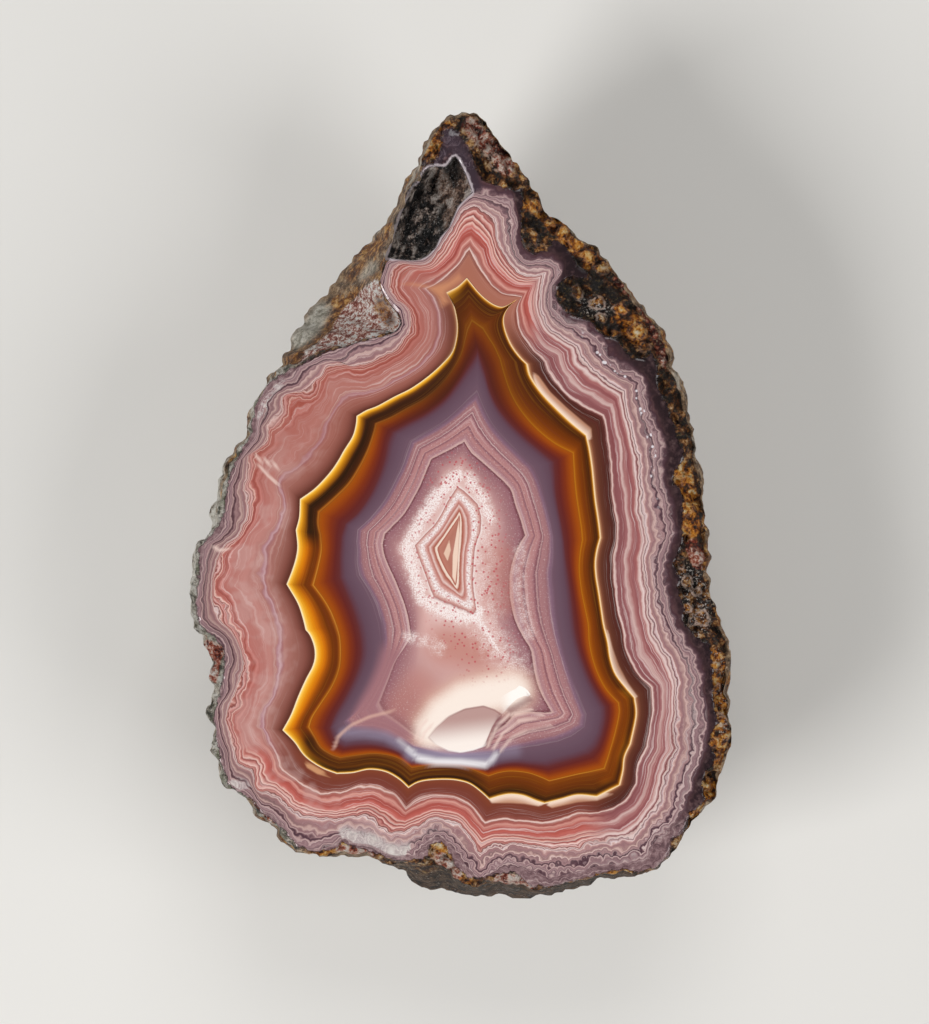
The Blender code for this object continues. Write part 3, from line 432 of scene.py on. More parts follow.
# Lumps in the crust, each a place and a radius
nuggets = [
    (-3.5, 43.1, 0.8), (-2.9, 44.4, 0.7), (-3.9, 41.6, 0.6), (4.4, 41.3, 1.0), (5.9, 40.3, 0.7),
    (2.1, 45.9, 0.7), (1.3, 44.2, 0.7), (3.1, 42.9, 0.8), (7.2, 39.5, 0.7), (5.2, 38.8, 0.6),
    (8.8, 36.2, 0.8), (8.3, 32.6, 1.2), (9.3, 31.1, 0.9), (10.8, 34.4, 0.6), (12.1, 33.1, 0.8),
    (13.9, 31.8, 1.0), (15.4, 30.3, 1.1), (17.0, 28.8, 0.8), (13.9, 25.9, 0.9), (16.2, 24.7, 1.0),
    (16.7, 22.9, 0.7), (21.1, 21.3, 1.1), (18.5, 21.1, 0.7), (19.0, 23.9, 0.8), (22.1, 19.3, 0.8),
    (24.2, 17.7, 0.6), (26.1, 4.6, 0.9), (27.2, 3.2, 0.8), (27.0, 0.0, 0.9), (26.8, -2.8, 0.7),
    (28.1, -5.8, 1.2), (26.3, -6.5, 0.6), (27.0, -8.8, 0.9), (28.1, -10.1, 0.8),
    (27.2, -11.8, 0.7), (28.8, -13.2, 1.0), (27.7, -13.8, 0.6), (30.5, -18.9, 0.6),
    (30.7, -21.7, 0.7), (31.1, -25.4, 0.8), (30.2, -28.1, 0.7), (30.7, -29.6, 0.6),
    (29.1, -33.2, 1.0), (27.7, -36.0, 0.7), (26.0, -40.2, 0.7), (18.4, -43.9, 0.7),
    (16.2, -44.1, 0.6), (6.2, -44.5, 0.9), (-2.6, -40.8, 1.0), (-1.7, -42.8, 0.8),
    (0.1, -43.9, 0.7), (-13.9, -40.8, 0.7), (-11.7, -41.0, 0.6), (-3.9, -41.7, 0.6),
]

# Soft marks, each a line with its half width, how far it fades and its strength
marks = {
    "bulge": [([(-18.0, -6.0), (-17.0, -12.0), (-16.2, -17.0), (-17.4, -21.0), (-19.4, -25.2)],
               1.0, 2.2, 1.0),
              ([(18.9, -23.0), (18.4, -28.0), (17.0, -31.6)], 0.3, 1.4, 0.45)],
    "milk": [([(-0.4, 4.0), (-2.5, 2.0), (-4.8, -1.4), (-6.5, -4.7), (-5.6, -8.0), (-4.6, -10.8),
               (-2.0, -12.4), (0.8, -13.2), (2.2, -12.4)], 0.1, 1.5, 0.95),
             ([(0.8, 3.8), (2.7, 1.0), (3.4, -1.2)], 0.1, 1.3, 0.8),
             ([(2.6, -2.0), (2.4, -9.0), (3.4, -13.0)], 0.1, 3.0, 0.4),
             ([(-3.0, -11.6), (-1.0, -12.9), (2.0, -13.4), (3.0, -14.6), (4.2, -16.6)],
              0.0, 0.8, 0.95),
             ([(3.0, -15.0), (6.4, -19.0)], 0.2, 3.2, 0.5),
             ([(-6.4, -15.4), (-4.4, -15.8), (-2.4, -16.8)], 0.0, 1.3, 0.6),
             ([(7.2, -5.0), (6.9, -10.0), (8.2, -15.0)], 0.2, 1.3, 0.4)],
    "cream": [([(-3.4, -26.6), (-2.0, -24.6), (0.4, -23.0), (3.6, -22.2), (6.2, -21.9)],
               0.2, 4.6, 1.0)],
    "salmon": [([(-1.6, -16.4), (2.0, -17.0)], 0.6, 3.2, 0.8),
               ([(4.6, -6.0), (4.9, -11.0)], 0.6, 2.6, 0.5),
               ([(-5.0, -21.5), (-7.0, -24.0)], 0.6, 3.0, 0.5)],
    "specks": [([(-0.5, 3.4), (2.2, -3.0), (2.0, -10.0), (0.0, -13.5), (3.0, -17.0)],
                1.6, 3.4, 1.0),
               ([(-3.0, 0.5), (-5.6, -5.0), (-3.6, -10.8)], 0.6, 1.6, 0.8)],
    "veil": [([(-8.6, -18.6), (-10.6, -22.6), (-10.8, -24.8), (-7.4, -26.0)], 0.9, 2.4, 1.0)],
    "streak": [([(-15.2, -28.7), (-14.7, -27.3), (-13.2, -26.0), (-11.0, -25.0), (-8.2, -24.3)],
                0.0, 0.36, 1.0)],
    "shine": [([(-5.0, -30.0), (-3.0, -30.35), (0.0, -30.45), (2.9, -30.75)], 0.0, 0.75, 1.0),
              ([(-6.4, -28.8), (-5.0, -30.0)], 0.0, 0.6, 0.75),
              ([(-7.4, -27.8), (-6.4, -28.8)], 0.0, 0.6, 0.35),
              ([(2.9, -30.75), (3.7, -30.2), (4.2, -29.5)], 0.0, 0.6, 0.7)],
    # a painted sheen: the soft glow round the painted highlight of the shine
    "haze": [([(-14.0, -26.9), (-11.5, -26.9), (-9.0, -27.3), (-6.8, -28.6)], 0.0, 1.1, 0.7),
             ([(-6.0, -29.4), (-3.0, -29.6), (0.0, -29.8), (3.4, -29.9)], 0.0, 1.5, 1.0),
             ([(4.2, -29.3), (6.4, -29.0)], 0.0, 1.5, 0.5)],
    "shadow": [([(4.6, -25.2), (3.9, -27.0), (3.2, -28.4)], 0.0, 0.5, 1.0),
               ([(8.2, -22.9), (5.9, -24.2)], 0.1, 0.6, 0.8)],
    "pleats": [([(3.2, -28.5), (4.3, -26.2), (5.7, -24.8), (8.5, -24.1)], 0.03, 0.28, 1.0),
               ([(3.9, -28.8), (5.0, -27.0), (6.6, -25.6), (9.8, -24.8)], 0.03, 0.28, 0.9),
               ([(4.8, -29.0), (6.0, -27.6), (7.9, -26.5), (10.8, -25.9)], 0.03, 0.28, 0.8),
               ([(-5.4, -27.6), (-5.0, -26.4), (-4.2, -25.5)], 0.03, 0.25, 1.0),
               ([(-4.8, -27.9), (-4.3, -26.8), (-3.5, -26.0)], 0.03, 0.25, 1.0),
               ([(-24.8, 6.3), (-22.3, 5.1)], 0.05, 0.25, 1.0),
               ([(-24.5, 5.5), (-23.4, 4.2), (-22.2, 3.1)], 0.05, 0.25, 1.0),
               ([(-29.5, -4.8), (-27.9, -5.2)], 0.08, 0.25, 1.0)],
    "ochre": [([(-3.2, 42.3), (-2.5, 44.2), (-2.0, 45.6)], 0.7, 0.8, 1.0),
              ([(4.0, 37.0), (8.6, 36.4), (10.6, 34.6)], 0.2, 1.2, 0.55),
              ([(11.2, 34.6), (13.9, 32.1), (15.7, 30.0)], 0.7, 1.2, 1.0),
              ([(20.4, 22.2), (21.6, 21.0)], 0.8, 1.2, 1.0),
              ([(17.6, 21.2), (19.4, 23.8)], 0.4, 1.2, 0.6),
              ([(26.4, 4.6), (27.4, 1.0), (27.6, -2.4)], 0.7, 1.0, 0.75),
              ([(30.6, -17.6), (31.2, -21.0), (31.3, -26.0), (30.6, -30.0)], 0.5, 1.0, 0.85),
              ([(30.2, -33.4), (28.4, -36.4)], 0.5, 1.0, 0.8),
              ([(-2.8, -40.6), (-1.4, -42.6), (0.6, -44.6)], 0.4, 0.9, 1.0),
              ([(4.0, 45.0), (6.6, 41.6), (9.6, 37.8)], 0.1, 0.9, 0.4),
              ([(-16.8, -41.2), (-14.2, -40.3), (-11.5, -41.0)], 0.2, 0.8, 0.75),
              ([(12.5, -45.0), (16.5, -44.2), (20.0, -43.7)], 0.3, 0.6, 0.6)],
    # where the painted glints on the crust are stronger and whiter
    "sparkle": [([(15.2, 24.6), (16.8, 24.0)], 0.8, 1.0, 1.0),
                ([(27.4, -8.4), (28.6, -11.0), (28.3, -14.0)], 1.0, 1.4, 1.0),
                ([(19.0, 27.4), (22.0, 24.0), (24.4, 18.0)], 0.1, 1.2, 0.4),
                ([(30.8, -17.4), (31.3, -21.0), (31.6, -27.5)], 0.2, 1.0, 0.8),
                ([(4.4, 41.4), (3.2, 43.6), (1.6, 45.6)], 0.6, 1.2, 0.7),
                ([(5.4, -44.6), (7.8, -45.0)], 0.6, 0.9, 0.9),
                ([(-3.6, -41.4), (-1.2, -43.0)], 0.3, 0.9, 0.5)],
    "redness": [([(27.9, -4.6), (28.6, -6.4)], 0.5, 0.9, 1.0),
                ([(19.0, 27.6), (22.6, 23.4), (24.6, 17.6)], 0.1, 1.4, 0.8),
                ([(-14.4, -40.9), (-11.0, -41.4)], 0.2, 0.7, 1.0),
                ([(-2.4, -42.0), (-0.6, -43.8)], 0.4, 0.8, 0.9),
                ([(4.8, -44.6), (8.2, -45.0)], 0.5, 0.7, 1.0),
                ([(1.0, 46.0), (3.8, 43.2), (5.4, 41.0)], 0.4, 1.4, 0.8),
                ([(-25.4, -34.6), (-22.6, -37.6)], 0.1, 0.7, 0.7)],
    "frost": [([(-13.2, -38.6), (-10.6, -39.6), (-7.6, -40.6)], 0.7, 1.5, 1.0),
              ([(-21.6, 15.2), (-24.6, 11.0)], 0.2, 0.8, 0.5),
              ([(-27.4, -33.2), (-25.8, -33.0)], 0.3, 1.0, 0.6)],
    "pale": [([(-19.6, 20.6), (-18.0, 22.4), (-17.2, 24.0)], 0.5, 1.4, 1.0),
             ([(-11.6, 27.9), (-10.8, 29.2)], 0.2, 1.0, 0.7)],
    "golden": [([(-12.0, 31.4), (-10.6, 32.0)], 0.5, 1.3, 1.0),
               ([(-13.4, 28.4), (-12.0, 29.6)], 0.2, 1.0, 0.9),
               ([(-20.6, 17.8), (-18.6, 18.8)], 0.3, 0.9, 1.0),
               ([(-9.8, 24.6), (-8.6, 22.6)], 0.4, 0.9, 1.0),
               ([(-16.6, 20.4), (-14.4, 22.6)], 0.1, 0.8, 0.7)],
    # painted shade along the crevices in the hollow
    "crevice": [([(-1.7, 40.7), (-1.0, 42.0), (-0.5, 40.5), (-1.0, 39.6)], 0.25, 0.7, 1.0),
                ([(-2.0, 36.2), (-2.8, 34.9), (-2.3, 33.2), (-3.0, 32.2)], 0.05, 0.6, 1.0),
                ([(-4.4, 33.6), (-5.3, 31.9), (-4.7, 30.5)], 0.1, 0.6, 1.0),
                ([(-4.6, 38.2), (-5.4, 36.4), (-6.4, 35.6), (-6.1, 33.9)], 0.05, 0.6, 0.8),
                ([(-7.6, 32.8), (-6.6, 31.6)], 0.05, 0.5, 0.7)],
    "umber": [([(8.2, 33.8), (8.6, 31.2)], 0.7, 1.6, 0.8),
              ([(13.0, 26.6), (14.6, 24.4), (18.0, 21.6)], 0.6, 1.8, 0.7),
              ([(11.6, 30.6), (15.6, 27.6), (19.6, 24.6)], 0.2, 1.0, 0.8),
              ([(28.0, -8.6), (27.4, -6.6)], 0.4, 1.2, 0.6)],
    "violet": [([(1.6, 38.6), (0.9, 41.0), (-0.6, 43.4), (-1.7, 45.0)], 0.5, 0.7, 1.0),
               ([(-4.4, 41.3), (-3.0, 41.7), (-1.8, 42.8)], 0.2, 0.4, 1.0)],
}


stone = {
    "columnSpacing": 0.44,             # along the rim
    "shift": (0.1, 0.05),              # from the outlines to the frame
    "ringsPerBand": [4, 4, 5, 14, 10, 9, 4, 4, 4, 7, 5, 4, 22],      # from the heart to the rim
    "firstBand": -2,                   # the band number of the innermost ring
    "heartBand": -2.3, "heartShare": 0.12,      # the middle's, and the innermost ring's size
    "edgeFrom": 9.74,                  # the band number where the crust's finish begins
    "sharpAngle": 42,

    # The crust and the hollow; layers of bumps are (size across, height, place in the noise)
    "crustFrom": 9.5, "crustSlope": 0.6, "crustDepth": 1.1,
    "pitLevel": 0.5, "pitMost": 1.5, "pits": ((2.6, 0.9, 0.0), (1.2, 1.0, 0.0)),
    "crustGrit": ((0.7, 0.4, 20.0),),
    "nuggetHeight": 0.9, "nuggetWarp": (1.1, 0.55),      # size across, reach
    "edgeDrop": 0.35, "edgeDropFrom": 10.75,
    "hollowDepth": 2.8, "hollowWall": 1.0,
    "hollowLumps": ((2.6, 2.0, 0.0), (1.2, 0.9, 30.0), (0.55, 0.35, 50.0)),
    "slopePlace": (-4.0, 33.0), "slopeLean": 0.35, "slopeWidth": 4.0, "slopeRise": 0.65,
    "jagged": ((2.3, 0.75), (1.0, 0.5)), "jaggedMost": 0.25,      # the edge's bays: across, deep

    # The back; values for each of the twenty stretches run clockwise from the tip
    "girdleDrop": [3.0] * 8 + [3.5, 7.5, 9.0, 7.0, 3.5] + [3.0] * 4 + [3.5, 8.0, 13.0],
    "shoulderReach": [0.5] * 9 + [0.3, 0.2, 0.3] + [0.5] * 6 + [0.6, 0.3],
    "shoulderDrop": [0.3] * 9 + [0.35, 0.4, 0.35] + [0.3] * 6 + [0.35, 0.25],
    "shoulderRings": 8, "flankRings": 9, "bellyRings": 28, "spotRings": 3,
    "bellyIn": 0.03, "bellyHeight": 0.48,
    "spotCentre": (0.5, -6.5), "spotRadii": (11.5, 15.0),
    "spotWaves": ((3, 0.07, 0.6), (5, 0.04, 2.0)),      # times round, depth, turn
    "lumps": ((11.0, 1.9, 0.0), (4.4, 1.0, 40.0), (1.5, 0.28, 80.0), (0.6, 0.12, 120.0)),
    "dimples": (6.5, 1.3, 0.55),      # apart, deep, radius as a share of the distance apart
    "roughShares": (0.25, 0.5, 1.0),      # of the bumps at the shoulder, the girdle and the belly
    "bellyFrom": 0.3, "roughFrom": 4.0,      # share of the way down, height above the table
    "axisHeight": 0.6, "axisHalf": 26.0,      # the line that the bumps stand away from
}


def smooth(value):
    share = np.clip(value, 0.0, 1.0)
    return share * share * (3.0 - 2.0 * share)


def curveThrough(points, steps=10):
    given = np.array(points, float)
    padded = np.vstack([2 * given[0] - given[1], given, 2 * given[-1] - given[-2]])
    t = np.linspace(0.0, 1.0, steps, endpoint=False)[:, None]
    pieces = []
    for before, start, end, after in zip(padded, padded[1:], padded[2:], padded[3:]):
        pieces.append(0.5 * (2 * start + (end - before) * t
                             + (2 * before - 5 * start + 4 * end - after) * t ** 2
                             + (3 * start - before - 3 * end + after) * t ** 3))
    return np.vstack([*pieces, given[-1]])


def lengthsAlong(points):
    return np.concatenate([[0.0], np.cumsum(np.linalg.norm(np.diff(points, axis=0), axis=1))])


def evenly(points, count):
    lengths = lengthsAlong(points)
    wanted = lengths[-1] * np.arange(count) / count
    return np.stack([np.interp(wanted, lengths, points[:, axis]) for axis in (0, 1)], axis=1)


def stretchesOf(outline):
    return [curveThrough([*part, following[0]]) for part, following in
            zip(outline, outline[1:] + outline[:1])]


def columnsOf(outline, counts):
    return np.vstack([evenly(part, count) for part, count in zip(stretchesOf(outline), counts)])


def alongRays(values, counts):      # one value for each column, easing from stretch to stretch
    found = []
    for value, following, count in zip(values, values[1:] + values[:1], counts):
        found.append(value + (following - value) * smooth(np.arange(count) / count))
    return np.concatenate(found)


def distanceFrom(points, a, b):      # from the straight line between two places
    way = b - a
    share = np.clip((points - a) @ way / (way @ way), 0.0, 1.0)
    return np.linalg.norm(points - a - share[:, None] * way, axis=1)


def insideBy(points, outline):      # the distance inside a closed outline, negative outside it
    corners = np.array(outline, float)
    nearest = np.full(len(points), np.inf)
    crossings = np.zeros(len(points), int)
    for a, b in zip(corners, np.roll(corners, -1, axis=0)):
        nearest = np.minimum(nearest, distanceFrom(points, a, b))
        if a[1] != b[1]:
            wide, high = b - a
            spans = (a[1] > points[:, 1]) != (b[1] > points[:, 1])
            crossings += spans & (points[:, 0] < a[0] + (points[:, 1] - a[1]) * wide / high)
    return np.where(crossings % 2 == 1, nearest, -nearest)


def markedBy(points, lines):      # the strongest of some soft marks at each point
    strongest = np.zeros(len(points))
    for line, halfWidth, fade, strength in lines:
        ends = np.array(line, float)
        nearest = np.min([distanceFrom(points, a, b) for a, b in zip(ends, ends[1:])], axis=0)
        strongest = np.maximum(strongest, strength * (1.0 - smooth((nearest - halfWidth) / fade)))
    return strongest


def lifted(flat, height):      # for noise, each height is a pattern of its own
    return np.column_stack([flat, np.full(len(flat), height)])


def bumps(points, size, lift=0.0):
    return np.array([
        noise.noise(Vector((x, y, z + lift)) / size, noise_basis="PERLIN_ORIGINAL")
        for x, y, z in points
    ])


def layered(points, layers):
    return sum(height * bumps(points, size, lift) for size, height, lift in layers)


def dimpled(points, size, radius):
    nearest = np.array([noise.voronoi(Vector(point) / size)[0][0] for point in points])
    return 1.0 - smooth(nearest / radius)


def nuggetsAt(points):      # 1 on top of a lump, 0 beside it, with uneven outlines
    size, reach = stone["nuggetWarp"]
    places = lifted(points, 3.0)
    bent = points + reach * np.column_stack([bumps(places, size), bumps(places, size, 9.0)])
    highest = np.zeros(len(points))
    for x, y, radius in nuggets:
        apart = np.hypot(bent[:, 0] - x, bent[:, 1] - y) / radius
        highest = np.maximum(highest, 1.0 - apart ** 2)
    return highest


def roughened(points, weights):
    axis = np.tile([stone["spotCentre"][0], 0.0, stone["axisHeight"] * cutHeight],
                   (len(points), 1))
    axis[:, 1] = np.clip(points[:, 1], -stone["axisHalf"], stone["axisHalf"])
    out = points - axis
    out /= np.linalg.norm(out, axis=1)[:, None]
    size, depth, radius = stone["dimples"]
    amount = layered(points, stone["lumps"]) - depth * dimpled(points, size, radius)
    return points + out * (amount * weights)[:, None]


def faceRings(columns):      # the face's rings and the band number of each
    rings, levels = [], []
    for number, count in enumerate(stone["ringsPerBand"]):
        for step in range(count):
            share = step / count
            rings.append(columns[number] + (columns[number + 1] - columns[number]) * share)
            levels.append(number + stone["firstBand"] + share)
    rings.append(columns[-1])
    levels.append(len(columns) - 1 + stone["firstBand"])
    return np.array(rings), np.array(levels, float)


def faceHeights(flat, levels):
    insideHollow, insideCrust = insideBy(flat, hollowOutline), insideBy(flat, crustOutline)
    places = lifted(flat, 7.0)
    crusty = smooth(-insideCrust / stone["crustSlope"]) * (levels > stone["crustFrom"])
    pitted = np.clip(stone["pitLevel"] + layered(places, stone["pits"]), 0.0, stone["pitMost"])
    low = crusty * (stone["crustDepth"] * pitted + layered(places, stone["crustGrit"])
                    - stone["nuggetHeight"] * np.sqrt(nuggetsAt(flat)))
    dropFrom = stone["edgeDropFrom"]
    low += stone["edgeDrop"] * smooth((levels - dropFrom) / (11.0 - dropFrom))

    # The hollow's floor rises to the right
    slopeX, slopeY = stone["slopePlace"]
    along = flat[:, 0] - slopeX - stone["slopeLean"] * (flat[:, 1] - slopeY)
    shallow = 1.0 - stone["slopeRise"] * smooth(along / stone["slopeWidth"])
    floor = stone["hollowDepth"] + layered(places, stone["hollowLumps"])
    sunk = smooth(insideHollow / stone["hollowWall"]) * floor * shallow
    return cutHeight - np.where(insideHollow > 0.0, np.maximum(sunk, 0.0), low)


def jaggedEdge(edge):      # an outline with small bays in it
    along = np.roll(edge, -1, axis=0) - np.roll(edge, 1, axis=0)
    out = np.column_stack([-along[:, 1], along[:, 0]]) / np.linalg.norm(along, axis=1)[:, None]
    places = lifted(edge, 5.0)
    inward = sum(depth * np.minimum(bumps(places, size), stone["jaggedMost"])
                 for size, depth in stone["jagged"])
    return edge + out * inward[:, None]


def spotEdge(girdle):      # the flat spot's outline, column by column
    centre, radii = np.array(stone["spotCentre"]), np.array(stone["spotRadii"])
    way = girdle - centre
    turn = np.arctan2(way[:, 1] / radii[1], way[:, 0] / radii[0])
    swell = 1.0 + sum(depth * np.sin(times * turn + start)
                      for times, depth, start in stone["spotWaves"])
    return centre + np.column_stack([np.cos(turn), np.sin(turn)]) * radii * swell[:, None]


def rindRings(rim, girdle, drop, reach, share):
    shoulder = np.column_stack([
        rim[:, :2] + (girdle - rim[:, :2]) * reach[:, None],
        cutHeight - drop * share,
    ])
    widest = np.column_stack([girdle, cutHeight - drop])
    edge = spotEdge(girdle)
    atShoulder, atGirdle, atBelly = stone["roughShares"]
    rings = []
    for ring in range(1, stone["shoulderRings"] + 1):
        t = ring / stone["shoulderRings"]
        weight = np.full(len(rim), atShoulder * t)
        rings.append(roughened(rim + (shoulder - rim) * t, weight))
    for ring in range(1, stone["flankRings"] + 1):
        t = ring / stone["flankRings"]
        weight = np.full(len(rim), atShoulder + (atGirdle - atShoulder) * smooth(t))
        rings.append(roughened(shoulder + (widest - shoulder) * t, weight))
    low = np.column_stack([girdle + (edge - girdle) * stone["bellyIn"],
                           stone["bellyHeight"] * widest[:, 2]])
    under, spot = lifted((edge + girdle) / 2, 0.0), lifted(edge, 0.0)
    for ring in range(1, stone["bellyRings"]):
        t = ring / stone["bellyRings"]
        s = 1.0 - t
        place = widest * s ** 3 + low * 3 * s * s * t + under * 3 * s * t * t + spot * t ** 3
        weight = atGirdle + (atBelly - atGirdle) * smooth(t / stone["bellyFrom"])
        rings.append(roughened(place, weight * smooth(place[:, 2] / stone["roughFrom"])))
    for ring in range(stone["spotRings"]):
        inward = 1.0 - ring / stone["spotRings"]
        rings.append(lifted(stone["spotCentre"] + (edge - stone["spotCentre"]) * inward, 0.0))
    return np.array(rings)


def stoneFaces(around, total, edgeRing, rimRing):
    after = np.roll(np.arange(around), -1)
    heartIndex, footIndex = total * around, total * around + 1
    faces, corners, zones = [], [], []      # corners are places in the rings, zones are finishes
    for ring in range(total - 1):
        here, next_ = ring * around, (ring + 1) * around
        for column in range(around):
            faces.append((here + column, here + after[column],
                          next_ + after[column], next_ + column))
            corners.append(((ring, column), (ring, column + 1),
                            (ring + 1, column + 1), (ring + 1, column)))
            zones.append(int(ring >= edgeRing) + int(ring >= rimRing))
    last = (total - 1) * around
    for column in range(around):
        faces.append((after[column], column, heartIndex))
        corners.append(((0, column + 1), (0, column), (-1, column)))
        zones.append(0)
        faces.append((last + column, last + after[column], footIndex))
        corners.append(((total - 1, column), (total - 1, column + 1), (total, column + 0.5)))
        zones.append(2)
    return faces, corners, zones


def stoneObject():
    counts = [
        max(3, round(max(lengthsAlong(a)[-1], lengthsAlong(b)[-1]) / stone["columnSpacing"]))
        for a, b in zip(stretchesOf(rimOutline), stretchesOf(lavenderEndOutline))
    ]
    around = sum(counts)
    columns = [columnsOf(outline, counts) for outline in bandOutlines]
    heart = columns[0].mean(axis=0)
    columns.insert(0, heart + (columns[0] - heart) * stone["heartShare"])
    columns[-1] = jaggedEdge(columns[-1])
    flat, levels = faceRings(columns)
    levelOf = np.repeat(levels, around)
    heights = faceHeights(flat.reshape(-1, 2), levelOf)
    face = np.column_stack([flat.reshape(-1, 2), heights]).reshape(len(flat), around, 3)
    girdle = jaggedEdge(columnsOf(girdleOutline, counts))
    below = rindRings(face[-1], girdle, *(alongRays(stone[name], counts) for name in
                                          ("girdleDrop", "shoulderReach", "shoulderDrop")))
    rings = np.vstack([face, below])
    points = np.vstack([rings.reshape(-1, 3), [*heart, cutHeight], [*stone["spotCentre"], 0.0]])
    points[:, :2] += stone["shift"]
    points = np.clip(points, lowCorner, highCorner)

    total, rimRing = len(rings), len(flat) - 1
    edgeRing = int(np.searchsorted(levels, stone["edgeFrom"]))
    faces, corners, zones = stoneFaces(around, total, edgeRing, rimRing)
    mesh = bpy.data.meshes.new("agate_stone")
    mesh.from_pydata((points * mm).tolist(), [], [tuple(map(int, face_)) for face_ in faces])
    mesh.polygons.foreach_set("material_index", np.array(zones, np.int32))
    mesh.shade_smooth()
    mesh.set_sharp_from_angle(angle=math.radians(stone["sharpAngle"]))
    mesh.validate()
    mesh.update()

    bandValues = np.concatenate([levelOf, np.full(len(points) - len(levelOf), levels[-1])])
    bandValues[total * around] = stone["heartBand"]
    addAttribute(mesh, "band", bandValues)
    addPatterns(mesh, points)
    addBakeMap(mesh, points, corners, zones, total, rimRing, around)
    stoneItem = bpy.data.objects.new("agate_stone", mesh)
    bpy.context.scene.collection.objects.link(stoneItem)
    print("stone:", around, "columns,", total, "rings,", len(faces), "faces")
    return stoneItem


def addAttribute(mesh, name, values):
    attribute = mesh.attributes.new(name, "FLOAT", "POINT")
    attribute.data.foreach_set("value", np.asarray(values, np.float32))


def addPatterns(mesh, points):      # how far each point is inside the shapes, and how marked it is
    drawn = points[:, :2] - stone["shift"]
    limit = np.where(points[:, 2] < cutHeight / 2, -9.0, 9.0)      # the belly is outside them all
    for name, outline in (("hollow", hollowOutline), ("crust", crustOutline),
                          ("lens", lensOutline), ("wing", wingOutline), ("rust", rustOutline),
                          ("fan", fanOutline), ("tan", tanOutline), ("panel", panelOutline),
                          ("sliver", sliverOutline), ("scoop", scoopOutline)):
        addAttribute(mesh, name, np.minimum(insideBy(drawn, outline), limit))
    inCrescent = np.max([insideBy(drawn, outline) for outline in crescentOutlines], axis=0)
    addAttribute(mesh, "crescent", inCrescent)
    addAttribute(mesh, "nugget", nuggetsAt(drawn))
    for name, lines in marks.items():
        addAttribute(mesh, name, markedBy(drawn, lines))


# Shares of the picture that the finishes are baked to: the face lies in it on its side, and the
# back is unrolled below it
bakeMap = {"side": 0.004, "faceLow": 0.33, "faceHigh": 0.995, "rindLow": 0.004, "rindHigh": 0.32}


def addBakeMap(mesh, points, corners, zones, total, rimRing, around):
    side, faceLow, faceHigh, rindLow, rindHigh = bakeMap.values()
    lengthShare = (1.0 - 2 * side) / (highCorner[1] - lowCorner[1])
    widthShare = (faceHigh - faceLow) / (highCorner[0] - lowCorner[0])
    layer = mesh.uv_layers.new(name="OFBake")
    places = []
    for polygon, ringCorners, zone in zip(mesh.polygons, corners, zones):
        for vertex, (ring, column) in zip(polygon.vertices, ringCorners):
            if zone == 2:
                down = (ring - rimRing) / (total - rimRing)
                places.append((side + (1 - 2 * side) * column / around,
                               rindHigh - (rindHigh - rindLow) * down))
            else:
                x, y = points[vertex][:2]
                places.append((side + (y - lowCorner[1]) * lengthShare,
                               faceHigh - (x - lowCorner[0]) * widthShare))
    layer.data.foreach_set("uv", np.array(places, np.float32).ravel())


# Finishes: a wire is one socket, and sums of wires add their nodes

class Wire:
    def __init__(self, finish, socket):
        self.finish, self.socket = finish, socket

    def maths(self, operation, first, second):
        return self.finish.node("ShaderNodeMath", {"operation": operation}, {0: first, 1: second})

    def __add__(self, other):
        return self.maths("ADD", self, other)

    __radd__ = __add__

    def __sub__(self, other):
        return self.maths("SUBTRACT", self, other)

    def __rsub__(self, other):
        return self.maths("SUBTRACT", other, self)

    def __mul__(self, other):
        return self.maths("MULTIPLY", self, other)

    __rmul__ = __mul__

    def __truediv__(self, other):
        return self.maths("DIVIDE", self, other)

    def __rtruediv__(self, other):
        return self.maths("DIVIDE", other, self)

    def least(self, other):
        return self.maths("MINIMUM", self, other)

    def most(self, other):
        return self.maths("MAXIMUM", self, other)

    def over(self, other):
        return self.maths("GREATER_THAN", self, other)


def tint(code):
    parts = [int(code[n:n + 2], 16) / 255 for n in (0, 2, 4)]
    return (*[p / 12.92 if p <= 0.04045 else ((p + 0.055) / 1.055) ** 2.4 for p in parts], 1.0)


